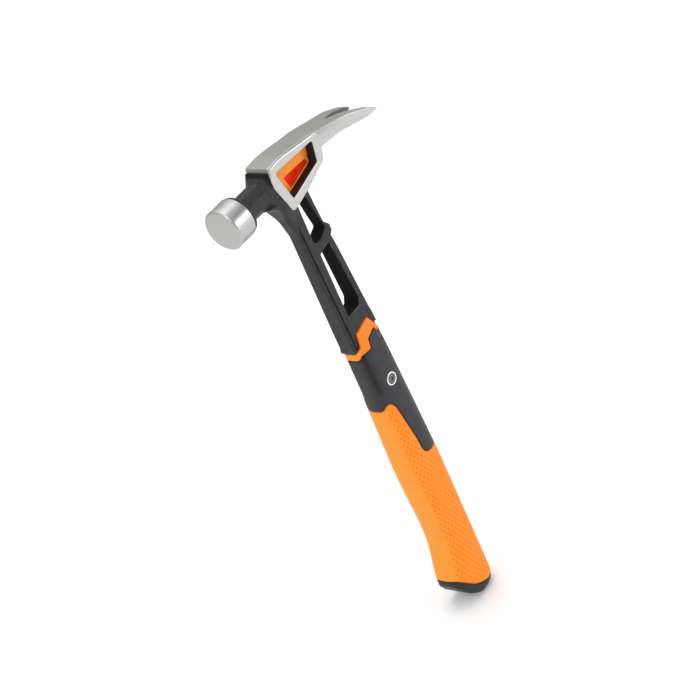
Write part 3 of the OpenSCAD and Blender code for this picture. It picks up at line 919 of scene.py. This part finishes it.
def moulded_black(name, tone, roughness):
    """Dark moulded plastic with an eroded mould texture, painted shade in the flute and a painted shadow
    along the parting lines.
    """
    f = Finish(name, Specular_IOR_Level=0.35)
    grain = f.noise(0.38, detail=2)
    cloud = f.noise(10.0, detail=2)
    base = f.mottle(cloud, tone, 0.9, 1.12)
    base = f.blend(f.spread(grain, 0.5, 0.75) * 0.4, base, shade(tone, 1.6))
    # Painted shade in the flute and painted shadow along the parting lines.
    base = f.blend(f.attribute("hollow") * 0.75 + f.attribute("seam") * 0.8, base, shade(tone, 0.2))
    return f.paint(Base_Color=base, Roughness=roughness + 0.15 * grain, Normal=f.bump(grain, 0.022))


def plain_metal(name, tone, roughness):
    """Small turned hardware, with fine marks and a little grime."""
    f = Finish(name, Metallic=1.0)
    grain = f.noise(0.25, detail=2)
    base = f.mottle(grain, tone, 0.9, 1.08)
    return f.paint(Base_Color=base, Roughness=roughness + 0.12 * grain, Normal=f.bump(grain, 0.006))


def coat_with(piece, material):
    """Gives a piece one material."""
    piece.data.materials.clear()
    piece.data.materials.append(material)
    return piece


def dimple_tree():
    """Geometry nodes that sink a staggered lattice of dimples into an unrolled surface."""
    tree = bpy.data.node_groups.new("Dimples", "GeometryNodeTree")
    tree.interface.new_socket("Geometry", in_out="INPUT", socket_type="NodeSocketGeometry")
    for name in ("Pitch", "Rows", "Radius", "Depth"):
        tree.interface.new_socket(name, in_out="INPUT", socket_type="NodeSocketFloat")
    tree.interface.new_socket("Material", in_out="INPUT", socket_type="NodeSocketMaterial")
    tree.interface.new_socket("Geometry", in_out="OUTPUT", socket_type="NodeSocketGeometry")
    g = Graph(tree)
    given = g.node("NodeGroupInput").outputs
    pitch, rows, radius, depth = (Reading(g, given[k]) for k in ("Pitch", "Rows", "Radius", "Depth"))

    def reading(name):
        made = g.node("GeometryNodeInputNamedAttribute", {"data_type": "FLOAT"}, {"Name": name})
        return Reading(g, made.outputs[0])

    around, height, flat = reading("around"), reading("height"), reading("dimpled")
    row = g.maths("ROUND", height / rows)
    shift = g.maths("FLOORED_MODULO", row, 2.0) * pitch * 0.5
    cell = around - shift
    across = cell - g.maths("ROUND", cell / pitch) * pitch
    up = height - row * rows
    away = g.maths("SQRT", across * across + up * up) / radius
    bowl = g.maths("MAXIMUM", 1 - away * away, 0.0) * flat
    normal = g.node("GeometryNodeInputNormal").outputs[0]
    sink = g.node("ShaderNodeVectorMath", {"operation": "SCALE"}, {0: normal, "Scale": bowl * depth * -1.0})
    moved = g.node("GeometryNodeSetPosition", None, {
        "Geometry": given["Geometry"], "Offset": sink.outputs[0]})
    # Stores the dimples' depth as a mask for painted shade.
    marked = g.node("GeometryNodeStoreNamedAttribute", {"data_type": "FLOAT", "domain": "POINT"}, {
        "Geometry": moved.outputs[0], "Name": "pit", "Value": g.maths("MINIMUM", bowl * 1.6, 1.0)})
    real = g.node("GeometryNodeRealizeInstances", None, {0: marked.outputs[0]})
    finished = g.node("GeometryNodeSetMaterial", None, {
        "Geometry": real.outputs[0], "Material": given["Material"]})
    g.node("NodeGroupOutput", None, {0: finished.outputs[0]})
    return tree


def applied(piece, tree, **values):
    """Runs a geometry node tree on a piece and keeps the result as its mesh."""
    modifier = piece.modifiers.new("Nodes", "NODES")
    modifier.node_group = tree
    for item in tree.interface.items_tree:
        if item.item_type == "SOCKET" and item.in_out == "INPUT" and item.name in values:
            modifier[item.identifier] = values[item.name]
    seen = piece.evaluated_get(bpy.context.evaluated_depsgraph_get())
    mesh = bpy.data.meshes.new_from_object(seen)
    piece.modifiers.clear()
    old = piece.data
    piece.data = mesh
    bpy.data.meshes.remove(old)
    mesh.name = piece.name
    return piece


# ---------------------------------------------------------------- the forging
def top_edge(x):
    """Height of the head's top edge, which falls away behind the cheeks."""
    return 338 - 0.2 * (x - 24) - 0.0022 * np.maximum(x - 24, 0) ** 2


def bar_width(z):
    """Half the thickness of the shank's bars at a height."""
    return 6.7 - 1.9 * np.clip((z - 215) / 84, 0, 1)


def head_blank(sizes):
    """The bare head before its window and notch are cut."""
    side, plan, top_plan = rounded(HEAD_SIDE), rounded(HEAD_PLAN), rounded(TOP_PLAN)
    crown, edge = sizes.crown_radius / MM, sizes.edge_radius / MM

    def field(x, y, z):
        radius = edge + (crown - edge) * fade(z, 328, 335) * (1 - fade(x, 18, 34))
        below = fade(top_edge(x) - z, -1.0, 10.5)
        across = outline_field(top_plan, x, y) * (1 - below) + outline_field(plan, x, y) * below
        return both(outline_field(side, x, z), across, radius)

    return field


def claw_head_field(sizes):
    """The bare head behind its coated front, with the window and the nail notch cut through."""
    blank = head_blank(sizes)
    front, window, notch = rounded(HEAD_FRONT), rounded(WINDOW), rounded(NOTCH)
    edge = sizes.edge_radius / MM

    def field(x, y, z):
        solid = without(blank(x, y, z), outline_field(front, x, z), 0.2)
        solid = without(solid, outline_field(window, x, z), edge)
        under = 322.5 - 0.18 * (x - 50) - z
        ease = 0.9 * fade(under, -1.5, 2.5)
        return without(solid, outline_field(notch, x, y) - ease, edge * 0.8)

    return field


def shank_field(sizes):
    """Coated front of the head, neck, throat and the two bars down to the collar."""
    blank = head_blank(sizes)
    front, window = rounded(HEAD_FRONT), rounded(WINDOW)
    shank, body, head_side = rounded(SHANK_SIDE), rounded(BODY_SIDE), rounded(HEAD_SIDE)
    upper, lower = rounded(UPPER_WINDOW), rounded(LOWER_WINDOW)
    circum = sizes.neck_flats / MM / 2 / math.cos(math.pi / 8)
    spin = (np.arange(8) + 0.5) * math.pi / 4
    corners = np.stack([circum * np.cos(spin), BELL_Z + circum * np.sin(spin)], 1)
    octagon = rounded([[u, v, 0.7] for u, v in corners])
    start = BELL_HIGH[0]
    rim = sizes.bell_diameter / MM / 2 - 0.6
    collar = rounded([[start, -1, 0], [start, rim, 0.4], [start + 2.2, rim - 0.1, 1.8],
                      [start + 4.2, circum + 0.1, 2.0], [start + 9, circum - 1.2, 0], [start + 9, -1, 0]])
    flare = hull_field([(-26, u, v) for u, v in corners] +
                       [(-19.6, side * 9.4, z) for side in (-1, 1) for z in (317, 339.2)])
    rail, groove = sizes.rail_radius / MM, sizes.groove_radius / MM

    def field(x, y, z):
        ahead = 1 - fade(x, -9, -5)
        width = bar_width(z)
        buried = fade(-outline_field(head_side, x, z), 0.1, 0.9)
        full = 8.2 + 1.75 * fade(x, -27, -19) - 0.7 * buried
        spread = width + (full - width) * fade(z, 298, 316) * ahead
        front_edge = rail + (4.6 - rail) * fade(z, 296, 314)
        soft = 1.0 + (front_edge - 1.0) * (1 - fade(x, -12.5, -9)) * fade(z, 202, 206)
        soft = soft - (soft - 0.5) * (1 - fade(z, 216, 221)) * fade(x, -12, -10)
        bars = np.minimum(outline_field(shank, x, z), outline_field(body, x, z))
        bars = both(bars, np.abs(y) - spread, soft)
        neck = np.maximum(outline_field(octagon, y, z), np.maximum(start + 1 - x, x + 19))
        neck = either(neck, outline_field(collar, x, np.hypot(y, z - BELL_Z)), 0.8)
        solid = either(bars, np.minimum(neck, flare(x, y, z)), 1.2)
        solid = np.minimum(np.maximum(solid, z - 339), both(blank(x, y, z), outline_field(front, x, z), 0.3))
        for cut, radius in ((window, 0.2), (upper, 0.9), (lower, 0.9)):
            solid = without(solid, outline_field(cut, x, z), radius)
        depth = groove * fade(z, 197, 202) * (1 - fade(z, 292, 300))
        line = np.hypot(x - GROOVE_AT, np.abs(y) - (width + 0.3)) - depth
        return without(solid, line, 0.3)

    return field


class HAMMER_OT_forging(bpy.types.Operator):
    """Builds the bare claw head and the coated neck and shank"""
    bl_idname = "hammer.forging"
    bl_label = "Head and Shank"

    def execute(self, context):
        sizes, finishes = context.scene.hammer_forging, context.scene.hammer_finishes
        points, quads = cast(claw_head_field(sizes), HEAD_LOW, HEAD_HIGH, HEAD_STEP)
        x, y, z = points.T
        opening = outline_field(rounded(WINDOW), x, z)
        half = np.abs(outline_field(rounded(HEAD_PLAN), x, y))
        slot = np.abs(outline_field(rounded(NOTCH), x, y))
        head = new_piece("head_with_claw", points, quads, {
            "coat": (1 - fade(opening, 0.15, 0.5)) * (1 - fade(np.abs(y), 9.45, 9.75)),
            "cheek": 1 - fade(half, 0.5, 1.5),
            # Mask of painted shade along the walls of the nail notch.
            "recess": 1 - fade(slot, 0.15, 0.6),
            "edge": edge_sharpness(points, quads, HEAD_STEP)})
        settle(coat_with(head, head_steel(finishes)), "ground_steel", "claw_head")

        points, quads = cast(shank_field(sizes), (BELL_HIGH[0], -12.9, 200.5), (13, 12.9, 341.5), SHANK_STEP)
        x, y, z = points.T
        walls = np.minimum(*(np.abs(outline_field(rounded(window), x, z))
                             for window in (UPPER_WINDOW, LOWER_WINDOW)))
        width = bar_width(z)
        groove = 1 - fade(np.hypot(x - GROOVE_AT, np.abs(y) - width + 0.6), 0.6, 1.1)
        # Painted shade on the coating: darker window walls, darker groove and a darker front face of the
        # head.
        window_wall_shade = (1 - fade(walls, 0.2, 0.7)) * (1 - fade(np.abs(y) - width, -0.9, -0.3))
        groove_shade = 0.8 * groove * fade(z, 199, 203) * (1 - fade(z, 290, 298))
        front_face_shade = 0.9 * (1 - fade(x, -18.4, -16.5)) * fade(x, -23.5, -22) * fade(z, 328, 334)
        shank = new_piece("neck_and_shank", points, quads, {
            "edge": edge_sharpness(points, quads, SHANK_STEP),
            "recess": np.maximum(window_wall_shade, groove_shade) + front_face_shade})
        tang = block("tang", (-8.8, -4, node_box("shank")[0][2]), (7.2, 4, 207), 0.5)
        shank = joined("neck_and_shank", shank, tang)
        settle(coat_with(shank, black_coating(finishes)), "black_coating", "shank")
        return {"FINISHED"}


class HAMMER_OT_bell(bpy.types.Operator):
    """Turns the polished striking bell"""
    bl_idname = "hammer.bell"
    bl_label = "Striking Bell"

    def execute(self, context):
        sizes, finishes = context.scene.hammer_forging, context.scene.hammer_finishes
        radius, long, cut = sizes.bell_diameter / MM / 2, sizes.bell_length / MM, sizes.face_chamfer / MM
        profile = rounded([
            [0, 0, 0], [0, radius * 0.45, 0], [0.04, radius - cut, 0.35], [cut + 0.04, radius, 0.5],
            [long * 0.35, radius, 0], [long * 0.7, radius, 0], [long - 0.6, radius, 0.3],
            [long, radius - 0.6, 0.15], [long, radius - 3, 0], [long, 0, 0]], degrees=12)
        points, faces = turned(profile, BELL_LOW[0], BELL_Z)
        bell = outward(new_piece("striking_face_and_bell", points, faces))
        settle(coat_with(sharpen(bell, 40), bell_steel(finishes)), "polished_steel", "striking_bell")
        return {"FINISHED"}


class HAMMER_OT_insert(bpy.types.Operator):
    """Moulds the orange insert in the head's window"""
    bl_idname = "hammer.insert"
    bl_label = "Window Insert"

    def execute(self, context):
        low, high = node_box("window_insert")
        half = (high[1] - low[1]) / 2
        window, pocket, step_cut = rounded(WINDOW), rounded(POCKET), rounded(STEP_CUT)

        def field(x, y, z):
            slab = both(outline_field(window, x, z), np.abs(y) - half, 0.35)
            solid = without(slab, both(outline_field(pocket, x, z), half - 2.2 - np.abs(y), 0.3), 0.35)
            return without(solid, outline_field(step_cut, x, z), 0.3)

        points, quads = cast(field, low, high, INSERT_STEP)
        x, y, z = points.T
        sunk = fade(-outline_field(pocket, x, z), -0.25, 0.1) * (1 - fade(np.abs(y), half - 1.1, half - 0.5))
        insert = new_piece("window_moulding", points, quads, {"pocket": sunk})
        plastic = insert_plastic(context.scene.hammer_finishes)
        settle(coat_with(insert, plastic), "insert_plastic", "window_insert")
        return {"FINISHED"}


# ---------------------------------------------------------------- the handle
class HAMMER_OT_collar(bpy.types.Operator):
    """Moulds the isolating collar and the sleeve inside it"""
    bl_idname = "hammer.collar"
    bl_label = "Isolating Collar"

    def execute(self, context):
        sizes, finishes = context.scene.hammer_handle, context.scene.hammer_finishes
        form, lip = HandleForm(sizes.squareness), sizes.lip / MM
        points, faces, places = moulding(form, COLLAR_LINE, SHOULDER, 0.0, 4.0, lip, lip, grain=1.2,
                                         hollow=flute(form, sizes.flute_depth / MM))
        collar = new_piece("isolating_collar", points, faces, places)
        foot = node_box("isolating_sleeve")[0][2]
        walls = [block("sleeve_wall", a, b, 0.3) for a, b in (
            ((-9.8, -4.8, foot), (-8.8, 4.8, 190)), ((7.2, -5.2, foot), (8.6, 5.2, 200)),
            ((-9, -5.2, foot), (7.4, -4, 190)), ((-9, 4, foot), (7.4, 5.2, 190)))]
        collar = joined("isolating_collar", collar, *walls)
        settle(coat_with(collar, soft_rubber("sleeve_rubber", finishes.collar, 0.38)), "sleeve_rubber",
               "isolating_sleeve")
        return {"FINISHED"}


class HAMMER_OT_core(bpy.types.Operator):
    """Moulds the dark shell of the handle, with the body that the grip is moulded over"""
    bl_idname = "hammer.core"
    bl_label = "Handle Shell"

    def execute(self, context):
        sizes, finishes = context.scene.hammer_handle, context.scene.hammer_finishes
        form, lip = HandleForm(sizes.squareness), sizes.lip / MM
        under = sizes.grip_thickness / MM
        washer = context.scene.hammer_fasteners.washer_diameter / MM / 2
        seat = float(form.around_at(0.0, BOLT_Z))

        points, faces, places = moulding(form, GRIP_LINE, COLLAR_LINE, 0.0, under + 2, lip, lip, grain=1.2,
                                         hole=(seat, BOLT_Z, washer + 0.04, 0.35),
                                         hollow=flute(form, sizes.flute_depth / MM))
        shell = new_piece("handle_shell", points, faces, places)
        points, faces, places = moulding(form, CAP_LINE, GRIP_LINE, under + 0.05, 2.0, 0.0, 0.0, grain=3)
        body = new_piece("grip_body", points, faces, places)
        shell = joined("handle_shell", shell, body)
        plastic = moulded_black("core_plastic", finishes.shell, 0.42)
        settle(coat_with(shell, plastic), "core_plastic", "handle_core")
        return {"FINISHED"}


class HAMMER_OT_grip(bpy.types.Operator):
    """Moulds the soft grip and sinks its dimples"""
    bl_idname = "hammer.grip"
    bl_label = "Soft Grip"

    def execute(self, context):
        sizes, finishes = context.scene.hammer_handle, context.scene.hammer_finishes
        form, lip = HandleForm(sizes.squareness), sizes.lip / MM
        pattern = {"pitch": sizes.dimple_pitch / MM, "rows": sizes.dimple_rows / MM,
                   "radius": sizes.dimple_radius / MM}
        points, faces, places = moulding(form, CAP_LINE, GRIP_LINE, 0.0, sizes.grip_thickness / MM, 0.7, lip,
                                         grain=1.5, dimples=pattern)
        flat = dimple_places(form, form.unroll(CAP_LINE), form.unroll(GRIP_LINE), pattern)
        near = np.zeros(len(points))
        for around, height in flat:
            away = np.hypot(places["around"] - around, places["height"] - height)
            near[away < pattern["radius"] * 1.2] = 1
        places["dimpled"] = near * places["skin"]
        grip = new_piece("soft_grip", points, faces, places)
        rubber = soft_rubber("grip_rubber", finishes.orange, 0.46)
        grip = applied(grip, dimple_tree(), Pitch=pattern["pitch"], Rows=pattern["rows"],
                       Radius=pattern["radius"], Depth=sizes.dimple_depth, Material=rubber)
        settle(grip, "grip_rubber", "grip")
        return {"FINISHED"}


class HAMMER_OT_cap(bpy.types.Operator):
    """Moulds the end cap with its sole and its spigot"""
    bl_idname = "hammer.cap"
    bl_label = "End Cap"

    def execute(self, context):
        sizes, finishes = context.scene.hammer_handle, context.scene.hammer_finishes
        form = HandleForm(sizes.squareness)
        points, faces, places = moulding(form, BUTT_LINE, CAP_LINE, 0.0, 6.0, 0.0, sizes.lip / MM, grain=0.9)
        cap = new_piece("cap_band", points, faces, places)
        edge = form.unroll(BUTT_LINE)
        loop = form.points(edge[:, 0], edge[:, 1], np.zeros(len(edge)))
        columns = np.linspace(-1, 1, 13)
        rows, count = len(loop), len(columns)
        sole = np.array([[x, y * c, z + lift] for lift in (0.0, 2.0) for x, y, z in loop for c in columns])
        faces = []
        for level in range(2):
            for i in range(rows - 1):
                for k in range(count - 1):
                    a = (level * rows + i) * count + k
                    faces.append((a, a + 1, a + count + 1, a + count))
        for i in range(rows - 1):
            for k in (0, count - 1):
                a = i * count + k
                faces.append((a, a + count, a + count + rows * count, a + rows * count))
        plate = outward(new_piece("cap_sole", sole, faces))
        spigot = block("cap_spigot", (-9, -6, 6), (9, 6, node_box("end_cap")[1][2]), 0.6)
        cap = joined("end_cap_moulding", cap, plate, spigot)
        settle(coat_with(cap, moulded_black("cap_plastic", finishes.cap, 0.4)), "cap_plastic", "end_cap")
        return {"FINISHED"}


class HAMMER_OT_fasteners(bpy.types.Operator):
    """Makes the handle bolt, its barrel nut and the two cup washers"""
    bl_idname = "hammer.fasteners"
    bl_label = "Handle Bolt"

    def execute(self, context):
        sizes = context.scene.hammer_fasteners
        washer, head = sizes.washer_diameter / MM / 2, sizes.head_diameter / MM / 2
        socket = sizes.socket_flats / MM / 2 / math.cos(math.pi / 6)
        reach = node_box("cup_washers")[1][1]
        steel = plain_metal("bolt_steel", (0.16, 0.16, 0.165), 0.34)
        bright = plain_metal("washer_steel", (0.86, 0.86, 0.86), 0.1)
        cups = []
        for side in (-1, 1):
            profile = rounded([
                [reach - 1.4, 2.55, 0], [reach - 1.4, washer, 0.1], [reach, washer, 0.55],
                [reach, head + 0.45, 0.25], [reach - 0.9, head + 0.05, 0], [reach - 0.9, 2.55, 0]],
                degrees=15)
            levels = [(along, np.full(64, radius)) for along, radius in profile]
            cups.append(outward(self.swept("cup", levels, side, closed=True)))
        cups = joined("cup_washer_pair", *cups)
        settle(coat_with(sharpen(cups), bright), "washer_steel", "cup_washers")
        for name, node, side, shaft, start in (("socket_bolt", "handle_bolt", -1, 1.5, 4.0),
                                               ("barrel_nut_sleeve", "barrel_nut", 1, 2.5, reach - 1.4)):
            piece = self.socketed(name, side, head, socket, reach - 0.9, reach - 0.12, shaft, -start)
            settle(coat_with(sharpen(piece), steel), "bolt_steel", node)
        return {"FINISHED"}

    @staticmethod
    def swept(name, levels, side, closed=False):
        """Rings round the bolt's axis, each a place along it and a radius for each direction."""
        rows, count = len(levels), len(levels[0][1])
        angles = np.arange(count) * 2 * math.pi / count
        points = [(r * math.cos(a), side * along, BOLT_Z + r * math.sin(a))
                  for along, radii in levels for a, r in zip(angles, radii)]
        faces = []
        for i in range(rows if closed else rows - 1):
            low, high = i * count, (i + 1) % rows * count
            for k in range(count):
                after = (k + 1) % count
                faces.append((low + k, low + after, high + after, high + k))
        return new_piece(name, points, faces)

    def socketed(self, name, side, head, socket, seat, top, shaft, tail):
        """A round head with a hexagon socket, on a shaft with a chamfered end."""
        angles = np.arange(48) * 2 * math.pi / 48
        facet = (angles + math.pi / 6) % (math.pi / 3) - math.pi / 6
        hexagon = socket * math.cos(math.pi / 6) / np.cos(facet)
        centre = 0 * angles
        levels = [(top - 0.55, centre), (top - 0.55, hexagon), (top - 0.04, hexagon), (top, hexagon * 1.06)]
        levels += [(along, centre + radius) for along, radius in (
            (top, head - 0.3), (top - 0.09, head - 0.1), (top - 0.3, head), (seat, head), (seat, shaft),
            (tail + 0.4, shaft), (tail, shaft - 0.4), (tail, 0))]
        return outward(self.swept(name, levels, side))


class HAMMER_OT_hidden(bpy.types.Operator):
    """Finishes the rubber pad and bush that stay inside the handle"""
    bl_idname = "hammer.hidden"
    bl_label = "Hidden Rubber"

    def execute(self, context):
        finishes = context.scene.hammer_finishes
        for node, tone in (("tang_end_pad", finishes.collar), ("bolt_bush", (0.03, 0.03, 0.03))):
            coat_with(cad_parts[node], soft_rubber(node + "_rubber", tone, 0.5))
        return {"FINISHED"}


# ---------------------------------------------------------------- the stage
class HAMMER_OT_stage(bpy.types.Operator):
    """Sets the camera, the lights and a pale floor"""
    bl_idname = "hammer.stage"
    bl_label = "Stage"

    def execute(self, context):
        scene, stage = context.scene, context.scene.hammer_stage
        turn, rise, roll = stage.azimuth, stage.elevation, stage.roll
        back = Vector((-math.sin(turn) * math.cos(rise), -math.cos(turn) * math.cos(rise), math.sin(rise)))
        level = Vector((math.cos(turn), -math.sin(turn), 0.0))
        over = back.cross(level)
        right = math.cos(roll) * level - math.sin(roll) * over
        up = math.sin(roll) * level + math.cos(roll) * over
        lens = bpy.data.cameras.new("camera")
        lens.lens, lens.sensor_width = stage.lens, 36.0
        lens.clip_start, lens.clip_end = 0.05, 50.0
        camera = bpy.data.objects.new("camera", lens)
        camera.matrix_world = Matrix.Translation(Vector(stage.target) + stage.distance * back) @ Matrix(
            (right, up, back)).transposed().to_4x4()
        scene.collection.objects.link(camera)
        scene.camera = camera

        bpy.ops.mesh.primitive_plane_add(size=14.0)
        floor = context.object
        floor.name = "floor"
        paper = Finish("floor_paper", Roughness=0.9, Emission_Color=(1.0, 1.0, 1.0, 1.0),
                       Emission_Strength=0.12)
        floor.data.materials.append(paper.paint(Base_Color=shade([stage.floor_shade] * 3)))

        world = bpy.data.worlds.new("room")
        world.use_nodes = True
        room = Graph(world.node_tree)
        direction = room.node("ShaderNodeTexCoord").outputs["Generated"]
        way = room.node("ShaderNodeSeparateXYZ", None, {0: direction})
        height = Reading(room, way.outputs[2])
        behind = room.node("ShaderNodeMapRange", {"interpolation_type": "SMOOTHSTEP"}, {
            "Value": Reading(room, way.outputs[1]), "From Min": -0.25, "From Max": 0.35})
        soft = room.node("ShaderNodeMix", {"data_type": "RGBA"}, {0: behind.outputs[0]})
        for socket, levels in ((6, FRONT_GLOW), (7, REAR_GLOW)):
            bands = room.node("ShaderNodeValToRGB", {
                "stops": [(level, (glow, glow, glow, 1.0)) for level, glow in levels]}, {0: height})
            room.feed(soft.inputs[socket], bands.outputs[0])
        backdrop = world.node_tree.nodes["Background"]
        room.feed(backdrop.inputs[0], soft.outputs[2])
        backdrop.inputs[1].default_value = stage.room_light
        scene.world = world
        for name, place, size, share in LIGHTS:
            lamp = bpy.data.lights.new(name, "AREA")
            lamp.shape, lamp.energy = "RECTANGLE", stage.key_light * share
            lamp.size, lamp.size_y = size
            light = bpy.data.objects.new(name, lamp)
            light.matrix_world = Matrix.Translation(place) @ (
                Vector(place) - Vector(LIT_POINT)).to_track_quat("Z", "Y").to_matrix().to_4x4()
            scene.collection.objects.link(light)
        scene.view_settings.view_transform = "Standard"
        return {"FINISHED"}


class HAMMER_PT_panel(bpy.types.Panel):
    """Lists the hammer's pieces and their sizes"""
    bl_label = "Claw Hammer"
    bl_idname = "HAMMER_PT_panel"
    bl_space_type = "VIEW_3D"
    bl_region_type = "UI"
    bl_category = "Hammer"

    def draw(self, context):
        scene = context.scene
        for group, operators in PIECES:
            box = self.layout.box()
            settings = getattr(scene, group)
            for key in settings.__annotations__:
                box.prop(settings, key)
            for operator in operators:
                box.operator(operator.bl_idname)


GROUPS = (
    ("hammer_forging", HammerForging), ("hammer_handle", HammerHandle),
    ("hammer_fasteners", HammerFasteners), ("hammer_finishes", HammerFinishes),
    ("hammer_stage", HammerStage))
PIECES = (
    ("hammer_forging", (HAMMER_OT_forging, HAMMER_OT_bell, HAMMER_OT_insert)),
    ("hammer_handle", (HAMMER_OT_collar, HAMMER_OT_core, HAMMER_OT_grip, HAMMER_OT_cap)),
    ("hammer_fasteners", (HAMMER_OT_fasteners,)),
    ("hammer_finishes", (HAMMER_OT_hidden,)),
    ("hammer_stage", (HAMMER_OT_stage,)))
OPERATORS = [operator for _, operators in PIECES for operator in operators]


def register():
    for _, group in GROUPS:
        bpy.utils.register_class(group)
    for operator in OPERATORS:
        bpy.utils.register_class(operator)
    bpy.utils.register_class(HAMMER_PT_panel)
    for name, group in GROUPS:
        setattr(bpy.types.Scene, name, PointerProperty(type=group))


def unregister():
    for name, _ in GROUPS:
        delattr(bpy.types.Scene, name)
    bpy.utils.unregister_class(HAMMER_PT_panel)
    for operator in reversed(OPERATORS):
        bpy.utils.unregister_class(operator)
    for _, group in reversed(GROUPS):
        bpy.utils.unregister_class(group)


def main():
    register()
    for operator in OPERATORS:
        area, name = operator.bl_idname.split(".")
        getattr(getattr(bpy.ops, area), name)()


if __name__ == "__main__":
    main()
